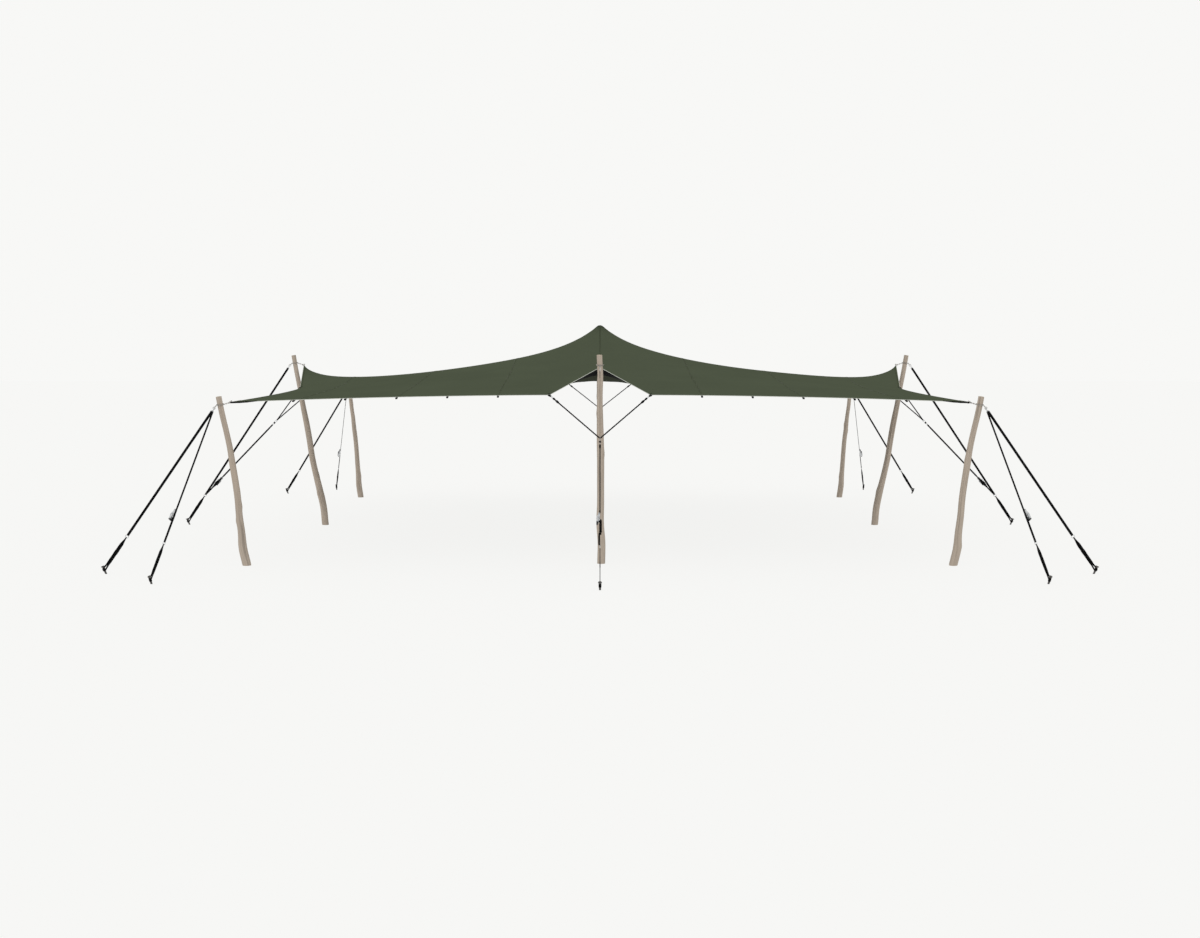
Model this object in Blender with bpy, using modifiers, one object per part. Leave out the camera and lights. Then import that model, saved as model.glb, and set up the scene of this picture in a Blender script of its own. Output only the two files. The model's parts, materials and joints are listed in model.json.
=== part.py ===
"""Stretch tent, 10 x 10 m: one fabric canopy on nine wooden poles, held by straps, bridles and stakes.

Metres, +Z up. The origin is on the ground under the tent's centre, and the front is towards -Y.
"""
import math

import bmesh
import bpy
import numpy as np
from mathutils import Matrix, Vector

# Ground plan, measured from the tent's centre
CORNER_FOOT = 5.07           # x and y of a corner pole's foot
CORNER_TOP = 5.358           # x and y of its top
CORNER_TOP_Z = 2.427
MIDDLE_FOOT = 4.90           # distance out of a middle pole's foot
MIDDLE_TOP = 5.407
MIDDLE_TOP_Z = 3.008
CORNER_STAKE = (6.81, 5.91)  # the two stakes of a corner swap these coordinates
MIDDLE_STAKE = 7.31

# Canopy
CORNER_TIP = 5.22            # x and y of a corner of the canopy
CORNER_TIP_Z = 2.345
MIDDLE_TIP = 5.274
MIDDLE_TIP_Z = 2.836
BRIDLE_SIDE = 0.717          # along the hem from the middle tip to a pulled-down point
BRIDLE_OUT = 5.159
BRIDLE_Z = 2.444
HEM_SAG = 0.177              # how far the hem curves in between a pulled-down point and a corner
HEM_BULGE = 0.015
PANEL_SEAM = 2.90            # distance of the outer seam from the middle one
FABRIC = 0.008
CENTRE_CELLS = 7
MIDDLE_CELLS = 5
OUTER_CELLS = 6
FIRST_CELL = 0.045
MIDDLE_GROWTH = 1.25
HEM_CROWDING = 0.6           # how much closer the grid lines get towards the hem, from 0 to 1
PATCH_STIFFNESS = 0.35       # extra stiffness of the patch round the centre pole, metres
PATCH_CORE = 0.05
UPLIFT = 0.005               # lift of the air under the sheet against its tension, per metre

# Poles. A trunk's diameter and how far it bows from the straight, in millimetres at each tenth of its length
CORNER_GIRTH = (120, 118, 103, 95, 93, 92, 90, 82, 79, 79, 79)
MIDDLE_GIRTH = (118, 115, 111, 101, 100, 100, 99, 90, 80, 78, 78)
CENTRE_GIRTH = (112, 110, 108, 106, 103, 101, 98, 96, 94, 92, 91)
FRONT_CORNER_BOW = (2, -10, 5, 12, 28, 33, 34, 36, 27, 11, 4)
BACK_CORNER_BOW = (-17, -29, -16, -6, 7, 14, 11, 13, 4, 3, 0)
INWARD_BOW = (13, 37, 24, 7, -4, 5, 6, -1, 0, -4, -5)
SIDEWAYS_BOW = (17, 21, 2, 9, 9, 10, 5, 0, -2, 5, -7)
CENTRE_BOW = (0, 3, 7, 10, 9, 4, -3, -8, -9, -5, 0)
POLE_SIDES = 10
BUTT_BURIED = 0.12           # the pole is drawn this far below the ground, then cut level
TOP_SPARE = 0.03
HEAD_RADIUS = 0.09           # of the sheet over the head
HEAD_CLEAR = 0.006           # from the middle of the sheet to the wood
HEAD_TOP_Z = 3.535
HEAD_SKIRT = 0.075
HEAD_STEPS = 5
HEAD_SIDES = 16
HEAD_FOOT = 0.92             # the head is turned in to this share of its radius at its foot

# Stays
WEBBING = 0.034
WEBBING_THICK = 0.004
RING_RADIUS = 0.022
RING_WIRE = 0.0045
RING_POINTS = 10
RING_SIDES = 4
RING_GRIP = 0.7              # the webbing reaches this share of the ring's radius short of its centre
CORNER_HOOK = (5.408, 5.408, 2.268)
MIDDLE_HOOK = (5.477, 0.0, 2.831)
CORNER_RING_SHARE = 0.797    # place of the ring along a corner stay
MIDDLE_RING = (7.027, 0.0, 0.521)
STRAP_START = 0.058          # from the hook's centre to the end of the webbing
HOOK_WIRE = 0.005
HOOK_REACH = 0.030
HOOK_SEWN = 0.02             # length of the hook's shank inside the webbing
DOUBLED_LESS = 0.002         # the doubled webbing is this much narrower and shorter
DOUBLED_LAYERS = 3
SLING_WIDTH = 0.046
SLING_THICK = 0.012
SLING_START_WIDTH = 0.012
SLING_FLARE = 0.09           # length over which the sling widens from the ring
SLING_END_WIDTH = 0.033
SLING_END = 0.05             # length of the sling's narrower end
SLING_NECK = 0.012
SLING_NECK_WIDTH = 0.020
SLING_TIP_WIDTH = 0.008
SLING_STOP = 0.0205          # the flat sling ends this far from the stake's axis, in its eye
STRAP_FOOT_Z = 0.062         # height where a sling holds its stake

# Stakes
STAKE_LEAN = math.radians(22)
STAKE_LENGTH = 0.120
STAKE_RADIUS = 0.0135
STAKE_HEAD_RADIUS = 0.025
STAKE_HEAD_THICK = 0.014
STAKE_BURIED = 0.03          # drawn below the ground, then cut level
STAKE_GAP = 0.0015
EYE_WALL = 0.004
EYE_HEIGHT = 0.026
GROUND_BLOCK = (0.4, 0.4, 0.2)

# Bridles
BRIDLE_JUNCTION = (5.725, 0.0, 1.86)
BRIDLE_ROPE = 0.006
BRIDLE_LINE = 0.0075
BRIDLE_DROP = 0.035          # gap along the branch below the hem, filled by its loop
JUNCTION_SIZE = 0.022
BRIDLE_RING_GAP = 0.030
BRIDLE_TAIL = 0.190          # the webbing narrows to a tail this far from the ring
TAIL_RADIUS = 0.008
TAIL_START_ASIDE = 0.0095    # the tail runs beside the side stay's strap, not in it
TAIL_END_ASIDE = 0.0135
TAIL_SEWN = 0.040
BUNDLE = ((1.425, 0.012), (1.500, 0.013), (1.525, 0.026), (1.565, 0.030), (1.600, 0.022), (1.660, 0.010))
BUNDLE_THICK = 0.038         # the spare webbing, bundled: distances from the junction and half widths above
BUNDLE_SHIFT = 0.007         # away from the ratchet

# Ratchets: a frame on the strap and a handle that hinges about the spool
RATCHET_SHARE = 0.627        # place of the spool along a corner stay
END_BRIDLE_SHARE = 0.749     # and along the line of a front or back bridle
SIDE_BRIDLE_SHARE = 0.806    # and of a left or right one
FRAME_PLATE = ((-0.080, 0.0005), (0.046, 0.0005), (0.050, 0.008), (0.050, 0.030), (0.040, 0.043),
               (-0.022, 0.043), (-0.045, 0.026), (-0.076, 0.022), (-0.080, 0.016))
PLATE_THICK = 0.003
FRAME_HALF = 0.021
ROLL_RADIUS = 0.023          # webbing wound on the spool
ROLL_SIDES = 10
PIN_RADIUS = 0.006
PIN_HALF = 0.035
SPOOL_OFFSET = 0.022         # spool's axis from the webbing's middle plane
BOLT_AT = -0.070             # bolt at the frame's other end, from the spool
BOLT_RADIUS = 0.005
BOLT_SPARE = 0.006
BOLT_UP = 0.009
BOLT_LOOP = 0.0095           # radius of the webbing sewn round the bolt
BOLT_LOOP_HALF = 0.015
HANDLE_PLATE = ((-0.018, -0.012), (0.020, -0.012), (0.088, 0.004), (0.088, 0.020), (0.070, 0.024),
                (-0.010, 0.024), (-0.018, 0.014))
HANDLE_HALF = 0.0295
HANDLE_TILT = math.radians(3)
HANDLE_HOLE = 0.0078
HANDLE_DRILL = 0.05
GRIP_RADIUS = 0.010
GRIP_AT = 0.078
GRIP_UP = 0.012
GRIP_SPARE = 0.004

# Chains at the pole tops
CORNER_CHAIN_Z = 2.295
MIDDLE_CHAIN_Z = 2.871
CHAIN_WIRE = 0.005
LEG_WIRE = 0.0042
LEG_SIDES = 6
COLLAR_GAP = 0.002
COLLAR_POINTS = 12
EYE_POINTS = 8
COLLAR_PHASE = 0.11
TIP_CLEAR = 0.006            # from the canopy's tip to the chain that holds it
TOUCH = 0.0003               # gap where two pieces touch
LINK_RADIUS = 0.018

SAME_POINT = 0.00005
SLIVER = 0.00002
SHARP_METAL = math.radians(40)
SHARP_WOOD = math.radians(50)
UPRIGHT = Matrix.Rotation(math.pi / 2, 4, "X")

QUARTER_TURNS = ("right", "back", "left", "front")
HAND = {"right": (1, -1), "back": (-1, -1), "left": (1, 1), "front": (1, 1)}  # how each pole's bows are turned
CORNERS = {"front_left": (-1, -1), "front_right": (1, -1), "back_left": (-1, 1), "back_right": (1, 1)}


def clear_scene():
    for old in list(bpy.data.objects):
        bpy.data.objects.remove(old, do_unlink=True)


def new_material(name, colour, roughness, metallic=0.0):
    material = bpy.data.materials.new(name)
    material.use_nodes = True
    shader = material.node_tree.nodes["Principled BSDF"]
    shader.inputs["Base Color"].default_value = (*colour, 1.0)
    shader.inputs["Roughness"].default_value = roughness
    shader.inputs["Metallic"].default_value = metallic
    return material


clear_scene()
PARTS = bpy.data.collections.new("stretch_tent")
bpy.context.scene.collection.children.link(PARTS)
CANVAS = new_material("olive_canvas", (0.075, 0.088, 0.052), 0.85)
WOOD = new_material("natural_wood", (0.43, 0.36, 0.29), 0.75)
STRAP = new_material("black_webbing", (0.008, 0.008, 0.009), 0.7)
STEEL = new_material("galvanised_steel", (0.55, 0.56, 0.57), 0.4, 0.9)
ROPE = new_material("dark_rope", (0.02, 0.02, 0.022), 0.8)


# Shape helpers

def link_object(name, mesh, material=None):
    thing = bpy.data.objects.new(name, mesh)
    if material:
        mesh.materials.clear()
        mesh.materials.append(material)
    PARTS.objects.link(thing)
    return thing


def mesh_object(bm, material=None, name="piece"):
    bmesh.ops.recalc_face_normals(bm, faces=bm.faces)
    mesh = bpy.data.meshes.new(name)
    bm.to_mesh(mesh)
    bm.free()
    return link_object(name, mesh, material)


def box(size, matrix):
    """A box of the given size, centred on the matrix's origin."""
    bm = bmesh.new()
    bmesh.ops.create_cube(bm, size=1.0, matrix=matrix @ Matrix.Diagonal((*size, 1.0)))
    return mesh_object(bm)


def rod(start, end, radius, sides=8):
    """A round bar between two points."""
    start, end = Vector(start), Vector(end)
    along = end - start
    place = Matrix.Translation((start + end) / 2) @ along.to_track_quat("Z", "Y").to_matrix().to_4x4()
    bm = bmesh.new()
    bmesh.ops.create_cone(bm, cap_ends=True, segments=sides, radius1=radius, radius2=radius,
                          depth=along.length, matrix=place)
    return mesh_object(bm)


def ring(matrix, radius, wire, around=RING_POINTS, sides=RING_SIDES):
    """A torus about the matrix's Z axis."""
    bpy.ops.mesh.primitive_torus_add(major_segments=around, minor_segments=sides,
                                     major_radius=radius, minor_radius=wire)
    thing = bpy.context.object
    thing.data.transform(matrix)
    for collection in list(thing.users_collection):
        collection.objects.unlink(thing)
    PARTS.objects.link(thing)
    return thing


def solid_from(curve):
    """A closed mesh made from a curve that is filled or has a bevel."""
    guide = link_object("guide", curve)
    mesh = bpy.data.meshes.new_from_object(guide.evaluated_get(bpy.context.evaluated_depsgraph_get()))
    bpy.data.objects.remove(guide, do_unlink=True)
    bm = bmesh.new()
    bm.from_mesh(mesh)
    bmesh.ops.remove_doubles(bm, verts=bm.verts, dist=SAME_POINT)
    return mesh_object(bm)


def trunk(points, widths):
    """A round trunk along a list of points, with a radius at each."""
    curve = bpy.data.curves.new("trunk", "CURVE")
    curve.dimensions = "3D"
    curve.bevel_depth = 1.0
    curve.bevel_resolution = POLE_SIDES // 2 - 2
    curve.use_fill_caps = True
    spline = curve.splines.new("POLY")
    spline.points.add(len(points) - 1)
    for number, point in enumerate(points):
        spline.points[number].co = (*point, 1.0)
        spline.points[number].radius = widths[number]
    return solid_from(curve)


def plate(outer, thickness, matrix):
    """A flat plate in the matrix's XY plane, from its outline."""
    curve = bpy.data.curves.new("plate", "CURVE")
    curve.dimensions = "2D"
    curve.fill_mode = "BOTH"
    curve.extrude = thickness / 2
    spline = curve.splines.new("POLY")
    spline.points.add(len(outer) - 1)
    for number, (x, y) in enumerate(outer):
        spline.points[number].co = (x, y, 0.0, 1.0)
    spline.use_cyclic_u = True
    thing = solid_from(curve)
    thing.data.transform(matrix)
    return thing


def combine(name, pieces, material, operation="UNION"):
    """One closed body out of pieces that overlap, or the first piece cut by the others."""
    first = pieces[0]
    for piece in pieces[1:]:
        modifier = first.modifiers.new("join", "BOOLEAN")
        modifier.operation = operation
        modifier.object = piece
    bpy.context.view_layer.update()
    mesh = bpy.data.meshes.new_from_object(first.evaluated_get(bpy.context.evaluated_depsgraph_get()))
    for piece in pieces:
        bpy.data.objects.remove(piece, do_unlink=True)
    bm = bmesh.new()
    bm.from_mesh(mesh)
    bmesh.ops.remove_doubles(bm, verts=bm.verts, dist=SLIVER)
    bmesh.ops.dissolve_degenerate(bm, edges=bm.edges, dist=SLIVER)
    bm.to_mesh(mesh)
    bm.free()
    mesh.name = name
    mesh.shade_smooth()
    mesh.set_sharp_from_angle(angle=SHARP_METAL)
    return link_object(name, mesh, material)


def line_frame(start, end, side):
    """A frame at start with X along the line, Z towards side and Y across it."""
    along = (Vector(end) - Vector(start)).normalized()
    across = Vector(side).cross(along).normalized()
    normal = along.cross(across)
    rotation = Matrix((along, across, normal)).transposed().to_4x4()
    return Matrix.Translation(start) @ rotation


# Canopy: the sheet is a tensioned membrane, found as the height at which every node is in balance

def grid_lines():
    """Distances from the centre of the fabric's grid lines, close together near the pole and the hem."""
    low, high = 1.0, 3.0
    for _ in range(50):
        growth = (low + high) / 2
        reach = sum(FIRST_CELL * growth ** k for k in range(CENTRE_CELLS))
        low, high = (growth, high) if reach < BRIDLE_SIDE else (low, growth)
    lines = [0.0]
    for k in range(CENTRE_CELLS):
        lines.append(lines[-1] + FIRST_CELL * low ** k)
    lines[-1] = BRIDLE_SIDE
    for k in range(1, MIDDLE_CELLS + 1):
        lines.append(BRIDLE_SIDE + (PANEL_SEAM - BRIDLE_SIDE) * (k / MIDDLE_CELLS) ** MIDDLE_GROWTH)
    for k in range(1, OUTER_CELLS + 1):
        share = k / OUTER_CELLS
        crowded = math.sin(math.pi / 2 * share)
        lines.append(PANEL_SEAM + (CORNER_TIP - PANEL_SEAM) * (share + (crowded - share) * HEM_CROWDING))
    return np.array(lines)


def hem_point(along):
    """Distance out and height of the hem at a distance along it from the middle tip."""
    if along <= BRIDLE_SIDE:
        share = along / BRIDLE_SIDE
        return MIDDLE_TIP + (BRIDLE_OUT - MIDDLE_TIP) * share, MIDDLE_TIP_Z + (BRIDLE_Z - MIDDLE_TIP_Z) * share
    share = (along - BRIDLE_SIDE) / (CORNER_TIP - BRIDLE_SIDE)
    arch = 4 * share * (1 - share)
    out = BRIDLE_OUT + (CORNER_TIP - BRIDLE_OUT) * share - HEM_SAG * arch
    return out, BRIDLE_Z + (CORNER_TIP_Z - BRIDLE_Z) * share + HEM_BULGE * arch


def dome_height(radius):
    """Height of the sheet where it lies on the rounded pole head."""
    return HEAD_TOP_Z - HEAD_RADIUS + math.sqrt(HEAD_RADIUS ** 2 - radius ** 2)


def sheet_heights(lines, hem):
    """Heights of a quarter of the sheet, from the balance of its tension at each node."""
    count = len(lines)
    reach = np.zeros(count)
    reach[1:-1] = (lines[2:] - lines[:-2]) / 2
    reach[0] = (lines[1] - lines[0]) / 2
    reach[-1] = (lines[-1] - lines[-2]) / 2
    balance = np.zeros((count * count, count * count))
    load = np.zeros(count * count)
    for i in range(count):
        for j in range(count):
            for a, c in ((i + 1, j), (i, j + 1)):
                if a >= count or c >= count:
                    continue
                middle = math.hypot(lines[i] + lines[a], lines[j] + lines[c]) / 2
                stiffness = 1 + PATCH_STIFFNESS / max(middle, PATCH_CORE)
                width, length = (reach[j], lines[a] - lines[i]) if a > i else (reach[i], lines[c] - lines[j])
                pull = stiffness * width / length
                here, there = i * count + j, a * count + c
                balance[here, here] += pull
                balance[there, there] += pull
                balance[here, there] -= pull
                balance[there, here] -= pull
    for i in range(count):
        for j in range(count):
            radius = math.hypot(lines[i], lines[j])
            if i == count - 1 or j == count - 1:
                height = hem[j if i == count - 1 else i][1]
            elif radius <= HEAD_SKIRT:
                height = dome_height(radius)
            else:
                load[i * count + j] = UPLIFT * reach[i] * reach[j]
                continue
            row = i * count + j
            balance[row] = 0.0
            balance[row, row] = 1.0
            load[row] = height
    return np.linalg.solve(balance, load).reshape(count, count)


def quarter_layers():
    """Top and bottom points of a quarter of the sheet, as two grids."""
    lines = grid_lines()
    hem = [hem_point(along) for along in lines]
    heights = sheet_heights(lines, hem)
    slope_x, slope_y = np.gradient(heights, lines, lines)
    half = FABRIC / 2 * np.sqrt(1 + slope_x ** 2 + slope_y ** 2)
    out = np.array([point[0] for point in hem]) - CORNER_TIP
    share = (lines / CORNER_TIP) ** 2
    across = lines[:, None] + share[:, None] * out[None, :]
    deep = lines[None, :] + share[None, :] * out[:, None]
    return [np.stack((across, deep, heights + side * half), axis=-1) for side in (1, -1)], lines


def make_strip(name, layers, first, last):
    """The part of the sheet between two grid lines, from the front hem to the back one, as a closed shell."""
    inset = TOUCH / 2
    bm = bmesh.new()
    grids = []
    for layer in layers:
        columns = layer[first:last + 1].copy()
        columns[0, :, 0] += inset
        if last < len(layer) - 1:
            columns[-1, :, 0] -= inset
        front = columns[:, :0:-1] * np.array((1, -1, 1))
        columns = np.concatenate((front, columns), axis=1)
        grids.append([[bm.verts.new(point) for point in column] for column in columns])
    top, bottom = grids
    wide, deep = len(top) - 1, len(top[0]) - 1
    for i in range(wide):
        for j in range(deep):
            bm.faces.new((top[i][j], top[i + 1][j], top[i + 1][j + 1], top[i][j + 1]))
            bm.faces.new((bottom[i][j], bottom[i][j + 1], bottom[i + 1][j + 1], bottom[i + 1][j]))
    edge = [(i, 0) for i in range(wide)] + [(wide, j) for j in range(deep)]
    edge += [(i, deep) for i in range(wide, 0, -1)] + [(0, j) for j in range(deep, 0, -1)]
    for (i, j), (k, m) in zip(edge, edge[1:] + edge[:1]):
        bm.faces.new((top[i][j], bottom[i][j], bottom[k][m], top[k][m]))
    strip = mesh_object(bm, CANVAS, name)
    strip.data.shade_smooth()
    strip.data.set_sharp_from_angle(angle=SHARP_METAL)
    return strip


def make_canopy():
    """Four strips of fabric, split along real seams, that keep the sheet's one curved surface."""
    layers, lines = quarter_layers()
    seam = int(np.argmin(np.abs(lines - PANEL_SEAM)))
    flip = Matrix.Diagonal((-1.0, 1.0, 1.0, 1.0))
    inner = make_strip("canopy_middle_right", layers, 0, seam)
    outer = make_strip("canopy_right", layers, seam, len(lines) - 1)
    copy_to(inner, "canopy_middle_left", flip)
    copy_to(outer, "canopy_left", flip)


# Poles: crooked natural trunks, thicker at the butt, cut level where they stand

def cut_level(pole, height, keep):
    """Saws a trunk level at a height and keeps the side that the vector points to."""
    bm = bmesh.new()
    bm.from_mesh(pole.data)
    everything = bm.verts[:] + bm.edges[:] + bm.faces[:]
    cut = bmesh.ops.bisect_plane(bm, geom=everything, plane_co=(0, 0, height), plane_no=keep, clear_inner=True)
    edges = [item for item in cut["geom_cut"] if isinstance(item, bmesh.types.BMEdge)]
    bmesh.ops.contextual_create(bm, geom=edges)
    bm.to_mesh(pole.data)
    bm.free()


def make_pole(name, foot, top, girth, bows, level_top=False):
    """A trunk from foot to top. Each bow is a direction with how far the trunk strays along it, in mm."""
    foot, top = Vector(foot), Vector(top)
    last = len(girth) - 1
    points, widths = [], []
    for step, size in enumerate(girth):
        point = foot.lerp(top, step / last)
        for direction, strays in bows:
            point += Vector(direction) * strays[step] / 1000
        points.append(point)
        widths.append(size / 2000)
    points.insert(0, points[0] - (top - foot).normalized() * BUTT_BURIED)
    widths.insert(0, widths[0])
    if level_top:
        points[-1] = points[-1] + (top - foot).normalized() * TOP_SPARE
    pole = trunk(points, widths)
    cut_level(pole, 0.0, (0, 0, 1))
    if level_top:
        cut_level(pole, top.z, (0, 0, -1))
    pole.name = name
    pole.data.materials.append(WOOD)
    pole.data.shade_smooth()
    pole.data.set_sharp_from_angle(angle=SHARP_WOOD)
    return points, widths


def point_at_height(points, widths, height):
    """Centre and radius of a pole at a height."""
    for low, high, wide, narrow in zip(points, points[1:], widths, widths[1:]):
        if low.z <= height <= high.z:
            share = (height - low.z) / (high.z - low.z)
            return low.lerp(high, share), wide + (narrow - wide) * share
    raise ValueError("no pole at that height")


def make_centre_pole():
    collar_z = HEAD_TOP_Z - FABRIC - HEAD_RADIUS
    bows = (((1, 0, 0), CENTRE_BOW), ((0, 1, 0), CENTRE_BOW[::-1]))
    make_pole("centre_pole", (0, 0, 0), (0, 0, collar_z - TOUCH), CENTRE_GIRTH, bows, level_top=True)
    radius = HEAD_RADIUS - HEAD_CLEAR
    profile = [(0.0, collar_z + radius)]
    for step in range(1, HEAD_STEPS + 1):
        angle = math.pi / 2 * (1 - step / HEAD_STEPS)
        profile.append((radius * math.cos(angle), collar_z + radius * math.sin(angle)))
    profile[-1] = (radius * HEAD_FOOT, collar_z)
    profile.append((0.0, collar_z))
    bm = bmesh.new()
    verts = [bm.verts.new((x, 0, z)) for x, z in profile]
    for first, second in zip(verts, verts[1:]):
        bm.edges.new((first, second))
    mesh = bpy.data.meshes.new("centre_pole_head")
    bm.to_mesh(mesh)
    bm.free()
    head = link_object("centre_pole_head", mesh, WOOD)
    turn = head.modifiers.new("turn", "SCREW")
    turn.steps = HEAD_SIDES
    turn.render_steps = HEAD_SIDES
    turn.use_merge_vertices = True
    turn.merge_threshold = SAME_POINT
    turn.use_smooth_shade = True


# Chains at the pole tops: a collar round the pole with a leg to the canopy and one to the stay hook

def make_chain(name, pole, tip, hook, height, side):
    centre, radius = point_at_height(*pole, height)
    outer = radius + COLLAR_GAP + CHAIN_WIRE
    phase = Matrix.Rotation(COLLAR_PHASE, 4, "Z")
    collar = ring(Matrix.Translation(centre) @ phase, outer, CHAIN_WIRE, COLLAR_POINTS)
    tip, hook = Vector(tip), Vector(hook)
    flat = (centre - tip)
    flat.z = 0
    inward = centre - flat.normalized() * outer
    outward = centre + flat.normalized() * outer
    canopy_leg = rod(tip + (inward - tip).normalized() * TIP_CLEAR, inward, LEG_WIRE, LEG_SIDES)
    hook_leg = rod(outward, hook + (outward - hook).normalized() * LINK_RADIUS, LEG_WIRE, LEG_SIDES)
    eye = ring(line_frame(hook, outward, side) @ phase, LINK_RADIUS, CHAIN_WIRE, EYE_POINTS)
    combine(name, [collar, canopy_leg, hook_leg, eye], STEEL)


# Stakes and stays

def stake_axis(ground, hook):
    """Direction of a stake: it leans away from the hook that it holds."""
    out = Vector((ground.x - hook.x, ground.y - hook.y, 0)).normalized()
    return (out * math.sin(STAKE_LEAN) + Vector((0, 0, math.cos(STAKE_LEAN)))).normalized()


def make_stake(name, ground, hook):
    axis = stake_axis(ground, hook)
    top = ground + axis * STAKE_LENGTH
    shaft = rod(ground - axis * STAKE_BURIED, top, STAKE_RADIUS)
    head = rod(top - axis * STAKE_HEAD_THICK, top, STAKE_HEAD_RADIUS, 10)
    floor = box(GROUND_BLOCK, Matrix.Translation(ground - Vector((0, 0, GROUND_BLOCK[2] / 2))))
    return combine(name, [combine("whole_stake", [shaft, head], STEEL), floor], STEEL, "DIFFERENCE")


def sling_pieces(start, ground, hook, side):
    """The sling from a stay's ring to its stake: a flat tapered loop and an eye round the shaft."""
    axis = stake_axis(ground, hook)
    grip = ground + axis * (STRAP_FOOT_Z / axis.z)
    frame = line_frame(start, grip, side)
    length = (grip - start).length
    eye_radius = STAKE_RADIUS + STAKE_GAP
    stop = length - SLING_STOP
    begin = RING_RADIUS - SLING_START_WIDTH
    half = [(begin, SLING_START_WIDTH), (begin + SLING_FLARE, SLING_WIDTH), (stop - SLING_END, SLING_END_WIDTH),
            (stop - SLING_NECK, SLING_NECK_WIDTH), (stop, SLING_TIP_WIDTH)]
    upper = [(x, width / 2) for x, width in half]
    lower = [(x, -width / 2) for x, width in reversed(half)]
    body = plate(upper + lower, SLING_THICK, frame)
    wall = rod(grip - axis * EYE_HEIGHT / 2, grip + axis * EYE_HEIGHT / 2, eye_radius + EYE_WALL)
    hole = rod(grip - axis * EYE_HEIGHT, grip + axis * EYE_HEIGHT, eye_radius)
    link = ring(line_frame(start, grip, side), RING_RADIUS, RING_WIRE)
    return [link, body, wall], [hole]


def cross_bar(frame, along, up, half, radius, sides=8):
    """A bar across the strap, at a place along it and a height off its middle plane."""
    return rod(frame @ Vector((along, -half, up)), frame @ Vector((along, half, up)), radius, sides)


def ratchet_pieces(frame, spool_at):
    """Side plates, wound webbing, pin and bolt, with the webbing's middle plane as the frame's XY plane."""
    pieces = []
    for across in (-FRAME_HALF, FRAME_HALF):
        place = frame @ Matrix.Translation((spool_at, across, 0)) @ UPRIGHT
        pieces.append(plate(FRAME_PLATE, PLATE_THICK, place))
    pieces.append(cross_bar(frame, spool_at, SPOOL_OFFSET, FRAME_HALF, ROLL_RADIUS, ROLL_SIDES))
    pieces.append(cross_bar(frame, spool_at, SPOOL_OFFSET, PIN_HALF, PIN_RADIUS))
    pieces.append(cross_bar(frame, spool_at + BOLT_AT, BOLT_UP, FRAME_HALF + BOLT_SPARE, BOLT_RADIUS, 6))
    pieces.append(cross_bar(frame, spool_at + BOLT_AT, BOLT_UP, BOLT_LOOP_HALF, BOLT_LOOP))
    return pieces


def make_handle(name, frame, spool_at):
    """The ratchet's handle; its arms turn on the spool's pin."""
    hinge = frame @ Matrix.Translation((spool_at, 0, SPOOL_OFFSET)) @ Matrix.Rotation(-HANDLE_TILT, 4, "Y")
    pieces = []
    for across in (-HANDLE_HALF, HANDLE_HALF):
        pieces.append(plate(HANDLE_PLATE, PLATE_THICK, hinge @ Matrix.Translation((0, across, 0)) @ UPRIGHT))
    pieces.append(cross_bar(hinge, GRIP_AT, GRIP_UP, HANDLE_HALF + GRIP_SPARE, GRIP_RADIUS))
    hole = cross_bar(hinge, 0, 0, HANDLE_DRILL, HANDLE_HOLE)
    return combine(name, [combine("undrilled_handle", pieces, STEEL), hole], STEEL, "DIFFERENCE")


def webbing_face(hook, ground):
    """The horizontal direction that a stay's webbing faces: it lies in the stay's own upright plane."""
    return Vector((hook.y - ground.y, ground.x - hook.x, 0)).normalized()


def make_stay(name, hook, ring_at, ground, side, ratchet=False, doubled=False):
    """A strap from a pole's hook to a ring, and a sling from the ring to the stake."""
    frame = line_frame(hook, ring_at, side)
    length = (ring_at - hook).length
    strap_end = length - RING_RADIUS * RING_GRIP
    middle = (STRAP_START + strap_end) / 2
    strap = box((strap_end - STRAP_START, WEBBING, WEBBING_THICK), frame @ Matrix.Translation((middle, 0, 0)))
    shank = rod(frame @ Vector((HOOK_REACH, 0, 0)), frame @ Vector((STRAP_START + HOOK_SEWN, 0, 0)), HOOK_WIRE)
    solids, holes = sling_pieces(ring_at, ground, hook, side)
    pieces = [strap, shank] + solids
    spool_at = RATCHET_SHARE * (ground - hook).length
    if doubled:
        size = (strap_end - spool_at, WEBBING - DOUBLED_LESS, WEBBING_THICK * DOUBLED_LAYERS)
        centre = (spool_at + strap_end) / 2 - DOUBLED_LESS
        pieces.append(box(size, frame @ Matrix.Translation((centre, 0, 0))))
    handles = []
    if ratchet:
        pieces += ratchet_pieces(frame, spool_at)
        handles = [make_handle("handle", frame, spool_at)]
    return [combine(name, [combine("solid_stay", pieces, STRAP)] + holes, STRAP, "DIFFERENCE")] + handles


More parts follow.
